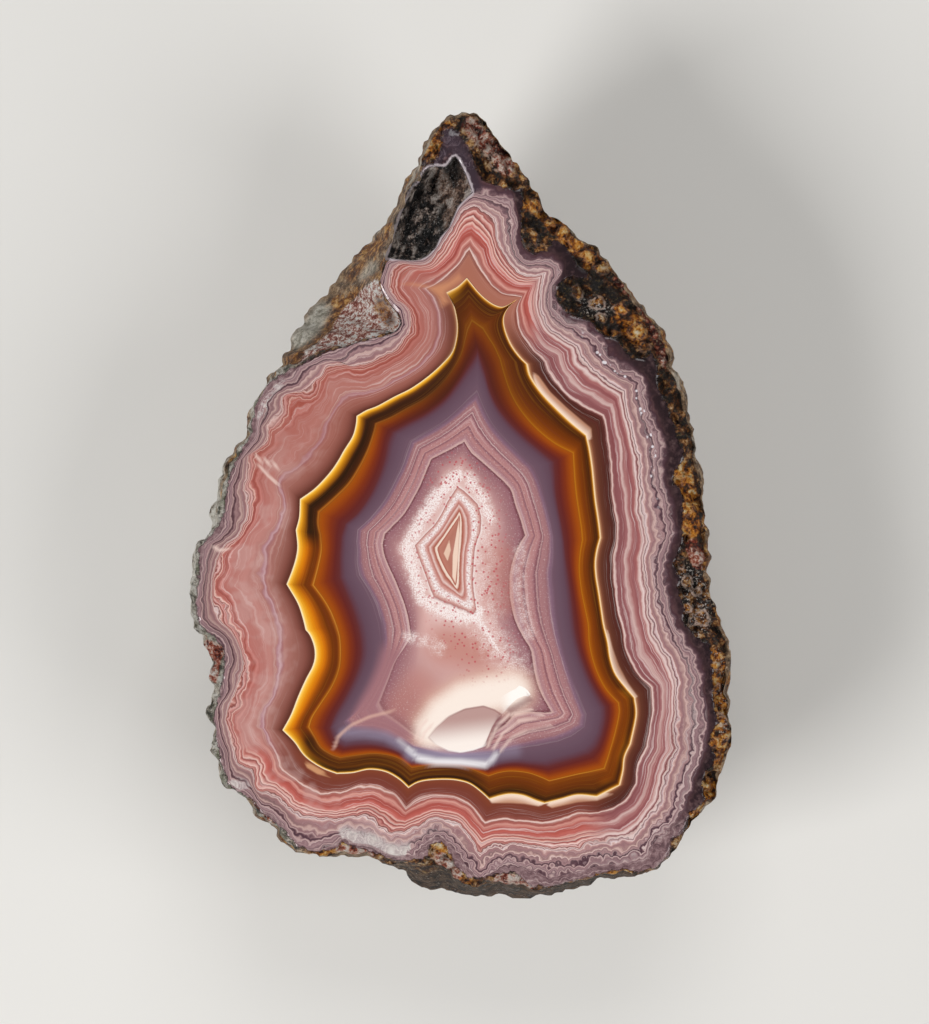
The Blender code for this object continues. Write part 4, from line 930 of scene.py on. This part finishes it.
class Finish:      # colours are given as codes or wires
    def __init__(self, name):
        self.material = bpy.data.materials.new(name)
        self.material.use_nodes = True
        self.tree = self.material.node_tree
        self.tree.nodes.clear()
        coordinates = self.node("ShaderNodeTexCoord", out="Object")
        self.place = self.node("ShaderNodeVectorMath", {"operation": "SCALE"},
                               {0: coordinates, "Scale": 1 / mm})
        self.x = self.node("ShaderNodeSeparateXYZ", {}, {0: self.place}, "X")
        self.y = self.node("ShaderNodeSeparateXYZ", {}, {0: self.place}, "Y")

    def node(self, kind, settings=None, sockets=None, out=0):
        made = self.tree.nodes.new(kind)
        for name, value in (settings or {}).items():
            if name == "stops":
                self.setStops(made.color_ramp, value)
            else:
                setattr(made, name, value)
        for name, value in (sockets or {}).items():
            if isinstance(value, Wire):
                self.tree.links.new(value.socket, made.inputs[name])
            else:
                made.inputs[name].default_value = tint(value) if isinstance(value, str) else value
        return Wire(self, made.outputs[out])

    def setStops(self, ramp, stops):
        while len(ramp.elements) < len(stops):
            ramp.elements.new(1.0)
        for element, (position, code) in zip(ramp.elements, stops):
            element.position = position
            element.color = tint(code)

    def attribute(self, name):
        return self.node("ShaderNodeAttribute", {"attribute_name": name}, {}, "Fac")

    def step(self, value, low, high):
        return self.node("ShaderNodeMapRange", {"interpolation_type": "SMOOTHSTEP"},
                         {"Value": value, "From Min": low, "From Max": high})

    def fall(self, value, low, high):
        return 1 - self.step(value, low, high)

    def within(self, value, low, lowEnd, highStart, high):
        return self.step(value, low, lowEnd) * self.fall(value, highStart, high)

    def noise(self, vector, scale, detail=2.0, roughness=0.5):
        return self.node("ShaderNodeTexNoise", {},
                         {"Vector": vector, "Scale": scale, "Detail": detail,
                          "Roughness": roughness}, "Fac")

    def cells(self, vector, scale, feature="F1"):
        return self.node("ShaderNodeTexVoronoi", {"feature": feature},
                         {"Vector": vector, "Scale": scale}, "Distance")

    def mix(self, share, first, second):
        return self.node("ShaderNodeMix", {"data_type": "RGBA"}, {0: share, 6: first, 7: second}, 2)

    def painted(self, colour, *coats):      # coats are (share, colour), laid on in turn
        for share, coat in coats:
            colour = self.mix(share, colour, coat)
        return colour

    def ramp(self, value, stops):      # stops are (position, colour code)
        return self.node("ShaderNodeValToRGB", {"stops": stops}, {0: value})

    def bands(self, level, stops):      # stops are (band number, colour code)
        low, span = stops[0][0], stops[-1][0] - stops[0][0]
        return self.ramp((level - low) / span, [((at - low) / span, code) for at, code in stops])

    def vector(self, x, y, z):
        return self.node("ShaderNodeCombineXYZ", {}, {0: x, 1: y, 2: z})

    def bumped(self, height, distance):
        return self.node("ShaderNodeBump", {}, {"Height": height, "Strength": 1.0,
                                                "Distance": distance * mm})

    def finished(self, colour, roughness, normal=None):
        sockets = {"Base Color": colour, "Roughness": roughness}
        if normal is not None:
            sockets["Normal"] = normal
        shader = self.node("ShaderNodeBsdfPrincipled", {}, sockets)
        output = self.tree.nodes.new("ShaderNodeOutputMaterial")
        self.tree.links.new(shader.socket, output.inputs[0])
        return self.material


# Colours of the bands by band number; amber and pink change on the way round
bandColours = {
    "heart": [(-2.3, "B87C6E"), (-1.0, "B07262"), (-0.4, "B87868"), (-0.12, "A86050"),
              (-0.03, "F0DCCA"), (0.06, "E8CDBE"), (0.12, "A0503C"), (0.22, "C08478"),
              (0.32, "E4C8C0"), (0.4, "B0685C"), (0.52, "D8A8A0"), (0.62, "F2E8E6"),
              (0.76, "F4ECEA"), (0.84, "E8D0CA"), (0.93, "CC9C94"), (1.0, "A8706C")],
    "sugar": [(1.0, "A8706C"), (1.03, "F0E0DC"), (1.07, "E0C4BE"), (1.15, "DAB6B0"),
              (1.4, "D4A8A2"), (1.8, "C29692"), (2.05, "B48686"), (2.3, "A47678"),
              (2.8, "92626A"), (2.89, "7A4850"), (2.94, "6E4048"), (2.98, "C8A49E"),
              (3.02, "C49C98"), (3.08, "A87C82")],
    "mauve": [(3.08, "A87C82"), (3.25, "B07B7A"), (3.33, "845660"), (3.36, "B68482"),
              (3.52, "AA7678"), (3.6, "80545E"), (3.63, "BC9492"), (3.66, "865C64"),
              (3.69, "A67678"), (3.85, "9A6C70"), (3.94, "846274"), (4.0, "785A6A"),
              (4.12, "6C505E"), (4.4, "664C5A"), (4.7, "604452"), (4.88, "5E3640"),
              (5.0, "60292A"), (5.2, "62221E"), (5.5, "7C2E10"), (5.8, "9A4606"),
              (5.94, "9C4E06")],
    "amberRight": [(5.94, "8E420A"), (5.98, "B4700E"), (6.03, "A05606"), (6.1, "924802"),
                   (6.3, "7A3700"), (6.5, "6A2E00"), (6.7, "4E2200"), (6.8, "461E00"),
                   (6.89, "6C3800"), (6.945, "B06E0E"), (6.98, "E8B25A"), (7.0, "F6D8A8")],
    "amberLeft": [(5.94, "7C3A0C"), (5.98, "A8641C"), (6.02, "8E4C10"), (6.08, "4C2405"),
                  (6.22, "381A04"), (6.42, "2A1402"), (6.52, "3E1E02"), (6.64, "8A5004"),
                  (6.76, "BC780C"), (6.86, "E49E20"), (6.93, "F6C24C"), (6.97, "FADC90"),
                  (7.0, "FCEAC8")],
    "amberBulge": [(5.94, "843A08"), (5.98, "C07C20"), (6.03, "9A5008"), (6.12, "703004"),
                   (6.3, "6C3002"), (6.48, "9C4C02"), (6.6, "C86C02"), (6.74, "E08A0A"),
                   (6.86, "F0AC2C"), (6.93, "F8C858"), (6.97, "FAE0A0"), (7.0, "FCEAC8")],
    "amberBase": [(5.94, "82420A"), (5.98, "C07C20"), (6.03, "824006"), (6.2, "743602"),
                  (6.5, "642C02"), (6.68, "582A02"), (6.82, "341802"), (6.9, "4A2604"),
                  (6.955, "C88A28"), (6.985, "F4D498"), (7.0, "FCEAD0")],
    "amberBottom": [(5.94, "6E3408"), (5.98, "A06018"), (6.03, "7E420E"), (6.15, "643006"),
                    (6.4, "4E2404"), (6.62, "582C04"), (6.8, "2C1402"), (6.88, "3A1C04"),
                    (6.94, "D09020"), (6.975, "F4D088"), (7.0, "FCEAC8")],
    "pinkRight": [(7.0, "F6DAB0"), (7.035, "ECC69C"), (7.08, "AC7854"), (7.18, "7A4631"),
                  (7.32, "603324"), (7.6, "52261C"), (7.86, "4A221C"), (7.94, "7C4C46"),
                  (7.97, "C49C94"), (8.0, "D8BEB6"), (8.03, "AC7C78"), (8.07, "865052"),
                  (8.2, "8C5456"), (8.31, "A06A6A"), (8.35, "CCACA6"), (8.41, "BC9490"),
                  (8.48, "A46C6A"), (8.6, "8E5254"), (8.7, "A46664"), (8.745, "CCAAA4"),
                  (8.79, "DCC4C0"), (8.83, "AC7A78"), (8.855, "603034"), (8.875, "C8A49E"),
                  (8.915, "D6C0BC"), (8.94, "60363A"), (8.96, "B89494"), (9.0, "DCCACA")],
    "pinkLeft": [(7.0, "FCEAC8"), (7.02, "6A3A28"), (7.08, "5C2E24"), (7.3, "804A40"),
                 (7.6, "9A645A"), (7.86, "AA746C"), (7.94, "A06C6C"), (7.98, "BC9498"),
                 (8.03, "AC7E84"), (8.08, "AC766E"), (8.25, "B87E76"), (8.45, "B2746C"),
                 (8.6, "B06C64"), (8.66, "C07C74"), (8.72, "9E5046"), (8.78, "B46A62"),
                 (8.805, "E0B4A8"), (8.825, "843E38"), (8.85, "B46E66"), (8.88, "D4A09A"),
                 (8.9, "783834"), (8.925, "B8786E"), (8.945, "E0BEB6"), (8.965, "663230"),
                 (8.98, "C09C98"), (9.0, "E0CCCA")],
    "pinkBottom": [(7.0, "FCEAC8"), (7.03, "8A5238"), (7.1, "7E3E28"), (7.4, "76392A"),
                   (7.8, "783C32"), (7.93, "8E5044"), (7.97, "C89C90"), (8.0, "E0C4BC"),
                   (8.04, "A86C62"), (8.12, "A0564E"), (8.2, "D09488"), (8.26, "BC746A"),
                   (8.33, "A44E46"), (8.45, "B2584E"), (8.54, "C06C64"), (8.6, "E4B8AC"),
                   (8.63, "903C36"), (8.68, "CC8C80"), (8.71, "E8C8BE"), (8.735, "803634"),
                   (8.77, "C07C74"), (8.81, "E0B8AE"), (8.84, "944844"), (8.88, "C48880"),
                   (8.91, "663030"), (8.945, "E0C2BC"), (8.965, "7C4444"), (9.0, "E0D0D0")],
    "lavender": [(9.0, "D8B8B0"), (9.05, "AC817F"), (9.14, "916B6E"), (9.24, "A98581"),
                 (9.32, "C8A7A0"), (9.38, "876468"), (9.46, "A38181"), (9.52, "684B52"),
                 (9.56, "493139"), (9.6, "64474E"), (9.64, "B89996"), (9.72, "87686C"),
                 (9.8, "997A7C"), (9.86, "6C5057"), (9.92, "B89D99"), (9.96, "997A7C"),
                 (10.0, "64494E"), (10.06, "50383F"), (10.14, "492F34"), (10.22, "5C4042"),
                 (10.3, "3F282D"), (10.6, "2F1F25"), (11.0, "25181C")],
}

plainColours = {"cream": "F8EADF", "darkLine": "7A3C3C", "lightLine": "F0DCD8"}

# Colours of the crust, the hollow and the rind, from the lowest places to the highest
# where a ramp follows the height, its dark low end is painted shade and its pale high end painted
# highlight
crustColours = {
    "dusk": [(0.0, "140C10"), (0.4, "2A1C20"), (0.55, "4A3438"), (0.72, "785C5C"), (1.0, "B09490")],
    "haze": [(0.0, "3C2A2E"), (0.42, "60484C"), (0.5, "86696C"), (0.56, "A08686"),
             (0.66, "C8B4B2")],
    "brown": [(0.0, "080402"), (0.36, "1C0D05"), (0.48, "3A1C09"), (0.57, "6A3812"),
              (0.66, "9C6630"), (0.76, "CC9C66"), (1.0, "F0DCC0")],
    "gold": [(0.0, "0E0602"), (0.34, "341604"), (0.44, "7A3A08"), (0.54, "BC6C14"),
             (0.65, "E0942E"), (0.78, "F2C882"), (1.0, "FAE8CC")],
    "red": [(0.0, "140604"), (0.4, "481610"), (0.5, "963A20"), (0.6, "C07058"), (0.72, "ECD0C0"),
            (1.0, "F8ECE6")],
    "grey": [(0.0, "24231C"), (0.4, "5E5C50"), (0.5, "98917F"), (0.6, "C2BAAC"), (0.74, "E0DACE"),
             (1.0, "F4F0E8")],
    "lobes": [(0.0, "E0DCD6"), (0.25, "D0C8C2"), (0.36, "B4A8A6"), (0.42, "DCD4CE"),
              (0.52, "AC9E9E"), (0.58, "D4CAC6"), (0.68, "968888"), (0.74, "C8BAB8"),
              (1.0, "7E6C70")],
    "rings": [(0.0, "8A2A1A"), (0.1, "B4603A"), (0.17, "D8B070"), (0.22, "5E4436"),
              (0.27, "D8CCB8"), (0.33, "6E5A52"), (0.4, "C8BCB4"), (1.0, "A89C9C")],
    "hollowDark": [(0.0, "020101"), (0.34, "080505"), (0.42, "261C18"), (0.53, "54453D"),
                   (0.64, "8A776C"), (0.78, "C4B2A6"), (1.0, "ECE0D8")],
    "hollowPale": [(0.0, "120D0C"), (0.34, "664C40"), (0.5, "A88672"), (0.64, "C8AA98"),
                   (0.8, "DCCCC2")],
    "rind": [(0.0, "1A120B"), (0.4, "4C3626"), (0.48, "80644A"), (0.55, "AC8C6A"),
             (0.64, "D0B696"), (1.0, "E6DCC4")],
    "rusty": [(0.0, "160A05"), (0.42, "4A260E"), (0.5, "8A4E18"), (0.57, "C88E40"),
              (0.66, "E8C484"), (1.0, "F4E0B8")],
    "mossy": [(0.0, "4E4A3E"), (0.4, "969080"), (0.48, "C4BDAE"), (0.56, "E0DBD0"),
              (1.0, "F6F2EA")],
    "dusty": [(0.0, "3A1410"), (0.41, "7C342A"), (0.465, "AE6654"), (0.5, "E0BEB0"),
              (0.53, "FAF4F0"), (1.0, "FCF8F6")],
}


def crinkledLevel(look, level):      # inner bands run clean; outwards they waver and grow scallops
    leftness = look.fall(look.x, -14.0, -6.0)
    outer = look.step(level, 8.7, 9.5) * (1 - 0.5 * leftness)
    inPink = look.step(level, 7.3, 7.9)
    pinkZone = inPink * (1.0 + 0.5 * leftness)
    inner = look.fall(level, 3.9, 4.6)
    lobed = outer * look.fall(look.y, -38.0, -32.0)
    ripple = look.noise(look.place, 1.7, 3.0, 0.6) - 0.5
    broad = look.cells(look.place, 0.24) - 0.4
    scallops = look.cells(look.place, 0.42) - 0.45
    small = look.cells(look.place, 1.2) - 0.45
    crinkled = level - scallops * (0.12 * pinkZone + 0.16 * outer)
    crinkled = crinkled - broad * inPink * leftness * 0.26
    crinkled = crinkled - small * (0.03 * pinkZone + 0.16 * outer + 0.2 * lobed)
    return crinkled + ripple * (0.16 * outer + 0.03 * pinkZone + 0.05 * inner)


def fineLines(look, crinkled):      # noise drawn out along the bands, and its light and dark parts
    lines = look.noise(look.vector(crinkled * 13.0, look.x * 0.06, look.y * 0.06), 1.0, 4.0, 0.72)
    return lines, look.step(lines, 0.52, 0.68), look.fall(lines, 0.3, 0.47)


def blobRings(look, colour, level, pits):      # pale lobes ringed with grey, and small ringed spots
    lobes = look.ramp(look.cells(look.place, 0.5) + (pits - 0.5) * 0.7, crustColours["lobes"])
    spots = look.cells(look.place, 1.35)
    rings = look.ramp(spots, crustColours["rings"])
    frosted = look.step(look.attribute("frost") + (pits - 0.5) * 2.2, 0.3, 0.6)
    lobes = look.mix(look.fall(spots, 0.36, 0.42) * look.step(level, 10.25, 10.5), lobes, rings)
    return look.mix(frosted * look.step(level, 9.3, 9.7) * 0.8, colour, lobes)


def bandsFinish():
    look = Finish("bandedAgate")
    x, y, place, read = look.x, look.y, look.place, look.attribute
    level, milk, lens = read("band"), read("milk"), read("lens")
    crinkled = crinkledLevel(look, level)
    ramps = {name: look.bands(crinkled, stops) for name, stops in bandColours.items()}

    # Sides of the stone, for bands whose colours change on the way round
    right = look.step(x + 0.25 * (y - 12.0), -3.0, 5.0)
    bottom = look.fall(y, -31.5, -26.5) * look.fall(x, 14.0, 19.0)
    top = look.step(y + 0.6 * x, 22.0, 28.0) * look.fall(x, 8.0, 10.0)
    crown = look.step(y, 7.0, 15.0) * look.within(level, 4.8, 5.3, 6.65, 6.85)
    amber = look.painted(
        ramps["amberLeft"],
        (right, ramps["amberRight"]),
        (bottom, ramps["amberBottom"]),
        (bottom * look.step(x, 1.5, 4.5), ramps["amberBase"]),
        (read("bulge"), ramps["amberBulge"]))
    pink = look.painted(
        ramps["pinkLeft"],
        (right, ramps["pinkRight"]),
        (bottom.most(top), ramps["pinkBottom"]))

    # The bands from the heart outwards, with sugary grain round the heart
    grain = look.noise(place, 4.5, 2.0, 0.8)
    colour = look.painted(
        ramps["heart"],
        (look.step(level, 0.2, 0.5) * look.step(grain, 0.42, 0.6) * 0.62, "C08880"),
        (look.step(read("panel"), -0.05, 0.08), "EBCDBA"),
        (look.step(read("sliver"), -0.05, 0.1), "E2BEA8"),
        (crinkled.over(1.0), look.mix(read("salmon"), ramps["sugar"], "BC7E72")),
        (crinkled.over(3.08), ramps["mauve"]),
        (crinkled.over(5.94), amber),
        (crinkled.over(7.0), pink),
        (crinkled.over(9.0), ramps["lavender"]),
        (crown * (0.78 - 0.3 * right), "3E1E0C"))

    # Finer lines within the bands, light and dark; the pink on the left is calm and mottled
    lines, light, dark = fineLines(look, crinkled)
    inAmber = look.within(level, 5.9, 6.1, 6.95, 7.05)
    lavender = look.step(level, 8.8, 9.2)
    calm = look.fall(x, -18.0, -12.0) * look.step(level, 7.3, 7.9)
    weight = look.step(level, 7.35, 8.0) * (1 - 0.35 * lavender) + 0.2 * inAmber \
        + 0.55 * look.within(level, 2.9, 3.1, 3.8, 4.3)
    weight = weight * (1 - 0.65 * calm * look.fall(level, 8.5, 8.8))
    mottled = look.step(look.noise(place, 0.35, 2.0, 0.6), 0.44, 0.62)
    speckle = look.step(grain, 0.56, 0.7) * look.within(level, 1.9, 2.4, 3.7, 4.1)
    colour = look.painted(
        colour,
        (mottled * calm * look.fall(level, 8.6, 9.0) * 0.32, "C8A6A0"),
        (light * weight * 0.5, look.mix(inAmber, plainColours["lightLine"], "E09A30")),
        (dark * weight * (0.62 + 0.2 * lavender),
         look.mix(lavender, plainColours["darkLine"], "4E3A46")),
        (speckle * 0.4, "E4CCCC"))

    # Milk and cream round the eye and below it, and the red specks in them
    outside = look.step(crinkled, 0.98, 1.04) * look.fall(level, 3.7, 4.1)
    milky = milk * look.step(look.noise(place, 0.9, 2.0, 0.6) + milk * 0.25, 0.38, 0.68)
    milkGrains = look.step(look.noise(place, 6.0, 1.5, 0.6) + milky * 0.14, 0.51, 0.66)
    creamy = (read("cream") + (grain - 0.5) * 0.16) * outside
    ruddy = (1 - right) * look.step(y, -2.0, 8.0) * look.within(level, 7.1, 7.6, 8.9, 9.1)
    dots = look.fall(look.cells(place, 1.8), 0.17, 0.3) * read("specks")
    colour = look.painted(
        colour,
        (milky * outside * 0.7, "E4C8C2"),
        (milkGrains * (milky * 1.3).least(1.0) * outside * 0.7, "FAF4F2"),
        (look.step(creamy, 0.0, 0.9) * 0.7, "E4BCA6"),
        (look.step(creamy, 0.35, 1.0) * 0.92, plainColours["cream"]),
        (read("veil") * look.within(level, 2.6, 3.2, 3.9, 4.5) * 0.85, "9C6C72"),
        (ruddy * 0.3, "964A38"),
        (lavender * look.fall(x, -24.0, -16.0) * 0.2, "5A3A30"),
        (top * look.within(level, 7.02, 7.08, 7.75, 7.95) * 0.62, "BC7C68"),
        (dots * look.step(level, 0.5, 0.6) * 0.8, "B84850"))

    # Single marks in the heart and on the bands
    beads = look.fall(look.cells(place, 1.5), 0.2, 0.36) * look.step(x, 12.0, 18.0) \
        * look.within(level, 9.46, 9.56, 9.72, 9.82) * look.step(y, -2.0, 6.0)
    crescent = look.step(read("crescent"), 0.02, 0.3) * look.step(level, 7.0, 7.03)
    lensEdge = look.within(lens, -0.2, -0.04, 0.02, 0.14)
    colour = look.painted(
        colour,
        (beads * 0.85, "E8E2E6"),
        (look.step(read("fan"), -0.1, 0.9) * 0.75, "D0906A"),
        (look.step(read("tan"), 0.0, 0.3) * 0.8, "D29A70"),
        (crescent * (0.95 - 0.3 * look.step(x, 12.0, 18.0)),
         look.mix(look.step(level, 7.0, 7.35), "F6DCC8", "C08C70")),
        # a painted sheen and a painted highlight along the bottom of the lens
        (read("haze") * 0.5, "A8A2BC"),
        (read("shine") * 0.92, "ECE8EA"),
        (read("streak") * 0.6, "DCB0A0"),
        # the lens: its own pale pink, with painted highlight towards the bottom and along the lower
        # rim, and painted shade towards the top and along the upper rim
        (look.step(lens, -0.04, 0.08),
         look.mix(look.step(y - 0.12 * x, -28.4, -25.0), "F6EAE2", "B8948E")),
        (lensEdge * (0.8 - 0.5 * look.fall(x, -3.0, 0.5)),
         look.mix(look.step(y, -28.6, -27.6), "FCF6F0", "9A6E6A")),
        (look.step(read("wing"), -0.03, 0.05) * look.step(x, 4.6, 6.4), "FCF6F0"),
        (read("shadow") * 0.75, "7C5054"),
        (read("pleats") * 0.7, "EBCFC4"))
    return look.finished(blobRings(look, colour, level, lines), 0.15)


def edgeFinish():
    look = Finish("edgeCrust")
    x, y, place, read = look.x, look.y, look.place, look.attribute
    level, violet, hollow, nugget = read("band"), read("violet"), read("hollow"), read("nugget")
    umber, sparkle, redness = read("umber"), read("sparkle"), read("redness")
    crinkled = crinkledLevel(look, level)
    lines, light, dark = fineLines(look, crinkled)
    colour = look.painted(
        look.bands(crinkled, bandColours["lavender"]),
        (light * look.fall(level, 9.95, 10.15) * 0.28, plainColours["lightLine"]),
        (dark * 0.5, "3A2A34"))

    # How high each place of the crust stands, and what part of the edge it is
    wander = (look.noise(place, 1.3, 3.0, 0.6) - 0.5) * 1.3
    atEdge = look.step(level, 9.9, 10.05)
    inCrust = look.step(wander - read("crust"), 0.0, 0.22) * atEdge
    patches = look.noise(place, 0.42, 3.0, 0.6)
    rugged = look.noise(place, 1.2, 5.0, 0.68)
    lump = look.cells(look.vector(x + wander * 0.5, y + (patches - 0.5) * 1.5, rugged), 0.9)
    grains = look.cells(place, 2.7)
    leftSide = look.fall(x + wander * 2.0, -22.0, -17.0)
    outerSides = leftSide.most(look.fall(y, -40.0, -35.0))
    highSide = look.step(x, 7.0, 11.0) * look.step(y, 6.0, 14.0)
    relief = 0.84 + (rugged - 0.5) * 1.7 - lump * 0.4 - grains * 0.24 \
        + nugget * (0.14 + highSide * 0.12) + outerSides * 0.09 - umber * 0.13 - highSide * 0.08
    # the colours follow the height: painted shade in the low places, painted highlight on the tops
    # and lumps
    ramps = {name: look.ramp(relief, crustColours[name])
             for name in ("dusk", "brown", "gold", "red", "grey")}

    # The agate beside the crust darkens, and is hazy on the left and along the bottom
    shade = look.step(y + 1.6 * x, 4.0, 14.0) * look.step(level, 10.05, 10.25) \
        * look.step(x, 3.0, 8.0)
    colour = look.painted(
        blobRings(look, colour, level, rugged),
        (look.step(level, 10.1, 10.4) * 0.6, ramps["dusk"]),
        (shade * 0.6, "1C1214"),
        (look.step(level, 9.98, 10.06) * outerSides * 0.8,
         look.ramp(lines * 0.6 + rugged * 0.4, crustColours["haze"])),
        (violet * atEdge * 0.9, look.mix(look.step(lines, 0.5, 0.62) * 0.35, "382C34", "84727C")))

    # The crust: brown and gold, red in places, grey on the left, with painted glints and ringed
    # lumps
    ochre = read("ochre") + (patches - 0.52) * 1.6 + look.step(nugget, 0.0, 0.3) * 0.3
    paintedGlints = look.step(look.noise(place, 3.2, 3.0, 0.75), 0.56, 0.62)
    ring = look.within(nugget, 0.04, 0.2, 0.34, 0.6) * look.step(rugged, 0.4, 0.5)
    crust = look.painted(
        ramps["brown"],
        (look.step(ochre, 0.2, 0.7), ramps["gold"]),
        (look.step(redness + patches * 0.6, 0.6, 1.0), ramps["red"]),
        (paintedGlints * (sparkle * 0.7 + 0.14), look.mix(sparkle, "F0C880", "F4ECE4")),
        (leftSide * look.fall(redness, 0.3, 0.7),
         look.mix(look.step(patches, 0.54, 0.62) * 0.55, ramps["grey"], "84886A")),
        (ring * (sparkle * 0.7 + 0.15), "E4C8B8"))
    inCrust = inCrust * (1 - violet * look.step(level, 10.0, 10.2))
    rust = look.step(read("rust"), -0.15, 0.15)

    # The hollow beside the tip: black lumps, and a paler grainy slope on its right
    inHollow = look.step(hollow, -0.05, 0.1)
    across, along = x * 0.9 - y * 0.44, x * 0.44 + y * 0.9
    folds = look.noise(look.vector(across + wander * 0.6, along * 0.3, 4.0), 1.0, 5.0, 0.62)
    cracks = look.cells(look.vector(across + wander, along * 0.45, 1.0), 0.62, "DISTANCE_TO_EDGE")
    depth = 0.86 + (folds - 0.5) * 2.2 + (rugged - 0.5) * 1.7 - grains * 0.42 \
        - look.fall(cracks, 0.0, 0.16) * 0.34
    slope = look.step(x + y / 6 + wander * 0.6, 3.3, 4.2)
    glints = look.step(look.noise(place, 5.0, 2.0, 0.7), 0.62, 0.68)
    lip = look.step(hollow + wander * 0.5, -0.4, -0.12) * look.fall(hollow, 0.0, 0.12)
    # the hollow's colours follow the depth: painted shade in the low places, painted highlight on
    # the lumps
    colour = look.painted(
        colour,
        (inCrust, crust),
        (rust, ramps["red"]),
        (inHollow, look.mix(slope * 0.85, look.ramp(depth, crustColours["hollowDark"]),
                            look.ramp(depth, crustColours["hollowPale"]))),
        # painted shade in the hollow's crevices
        (read("crevice") * inHollow * 0.92, "030202"),
        (glints * inHollow.most(leftSide * inCrust) * 0.7, "F0EAE6"),
        (lip * look.step(y + wander, 29.0, 30.0) * 0.8, "BCB0B4"))

    coarse = inCrust.most(inHollow).most(rust)
    height = relief * (1 - inHollow) + depth * inHollow
    return look.finished(colour, 0.15 + coarse * 0.3, look.bumped(height * coarse, 1.8))


def rindFinish():
    look = Finish("rind")
    place, x, y, read = look.place, look.x, look.y, look.attribute
    broad = look.noise(place, 0.16, 3.0, 0.6)
    rugged = look.noise(place, 0.9, 6.0, 0.75)
    ramps = {name: look.ramp(rugged, crustColours[name]) for name in ("rind", "rusty", "mossy")}
    ochrePatch = look.step(look.noise(place, 0.3, 3.0, 0.6), 0.53, 0.6).most(read("golden"))
    leftSide = look.fall(x + (broad - 0.5) * 30.0, -29.0, -24.0) * look.step(rugged, 0.36, 0.5)
    pale = (look.step(broad, 0.6, 0.67) * 0.6).most(read("pale")).most(leftSide)
    whites = look.step(look.noise(place, 2.2, 4.0, 0.7), 0.58, 0.66)
    bareRock = look.mix(whites, look.mix(look.step(rugged, 0.42, 0.56), "0E0806", "402A1E"),
                        "94867A")
    dusty = look.ramp(look.noise(place, 1.7, 5.0, 0.8) * 0.8 + broad * 0.2, crustColours["dusty"])
    scoop = read("scoop") + (rugged - 0.5) * 2.0
    rim = look.within(scoop, -1.1, -0.5, -0.2, 0.1)
    colour = look.painted(
        ramps["rind"],
        (ochrePatch, ramps["rusty"]),
        (pale, ramps["mossy"]),
        (whites * 0.45, "D8CEC0"),
        (look.fall(y + (rugged - 0.5) * 6.0, -44.0, -40.5) * 0.85, bareRock),
        (look.step(scoop, -0.1, 0.3), dusty),
        ((rim * 0.6).most(read("golden") * look.step(x, -12.0, -9.6) * 0.85), ramps["rusty"]))
    return look.finished(colour, 0.75, look.bumped(rugged - look.cells(place, 0.6) * 0.25, 1.5))


agateStone = stoneObject()
for finish in (bandsFinish, edgeFinish, rindFinish):
    agateStone.data.materials.append(finish())
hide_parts("agate")
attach(agateStone, "root")
print("stone finished")


studio = {
    "floorSize": 1.6, "floorColour": "DCDAD6", "floorRoughness": 0.8,
    "worldColour": "F2F2F0", "worldStrength": 0.15,
    "cameraHeight": 600.0,            # above the polished face, in millimetres
    "pictureLength": 122.88,          # what the picture's long side spans at the polished face
    "aim": (0.52, -0.37), "farthest": 10.0,
    # name: azimuth, elevation, distance in metres, size in metres, watts
    "lights": {"keyLight": (-60, 40, 0.8, 0.34, 4.9), "fillLight": (70, 42, 0.8, 0.5, 3.1),
               "backLight": (175, 50, 0.8, 0.4, 1.7)},
}


def buildStudio():
    half = studio["floorSize"] / 2
    mesh = bpy.data.meshes.new("studio_floor")
    mesh.from_pydata([(-half, -half, 0), (half, -half, 0), (half, half, 0), (-half, half, 0)],
                     [], [(0, 1, 2, 3)])
    floor = bpy.data.objects.new("studio_floor", mesh)
    bpy.context.scene.collection.objects.link(floor)
    mesh.materials.append(Finish("paleFloor").finished(studio["floorColour"],
                                                       studio["floorRoughness"]))

    world = bpy.data.worlds.new("studioWorld")
    world.use_nodes = True
    background = world.node_tree.nodes["Background"]
    background.inputs["Color"].default_value = tint(studio["worldColour"])
    background.inputs["Strength"].default_value = studio["worldStrength"]
    bpy.context.scene.world = world

    middle = Vector((0.0, 0.0, 0.5 * cutHeight * mm))
    for name, (azimuth, elevation, distance, size, watts) in studio["lights"].items():
        turn, rise = math.radians(azimuth), math.radians(elevation)
        out = Vector((math.sin(turn) * math.cos(rise), -math.cos(turn) * math.cos(rise),
                      math.sin(rise)))
        lamp = bpy.data.lights.new(name, "AREA")
        lamp.energy = watts
        lamp.size = size
        item = bpy.data.objects.new(name, lamp)
        item.location = middle + out * distance
        item.rotation_euler = (-out).to_track_quat("-Z", "Y").to_euler()
        bpy.context.scene.collection.objects.link(item)

    lens = bpy.data.cameras.new("camera")
    lens.sensor_width = 36.0
    lens.lens = lens.sensor_width * studio["cameraHeight"] / studio["pictureLength"]
    lens.clip_end = studio["farthest"]
    camera = bpy.data.objects.new("camera", lens)
    aimX, aimY = studio["aim"]
    camera.location = Vector((aimX, aimY, cutHeight + studio["cameraHeight"])) * mm
    bpy.context.scene.collection.objects.link(camera)
    bpy.context.scene.camera = camera
    bpy.context.scene.view_settings.view_transform = "Standard"
    print("studio ready")


buildStudio()
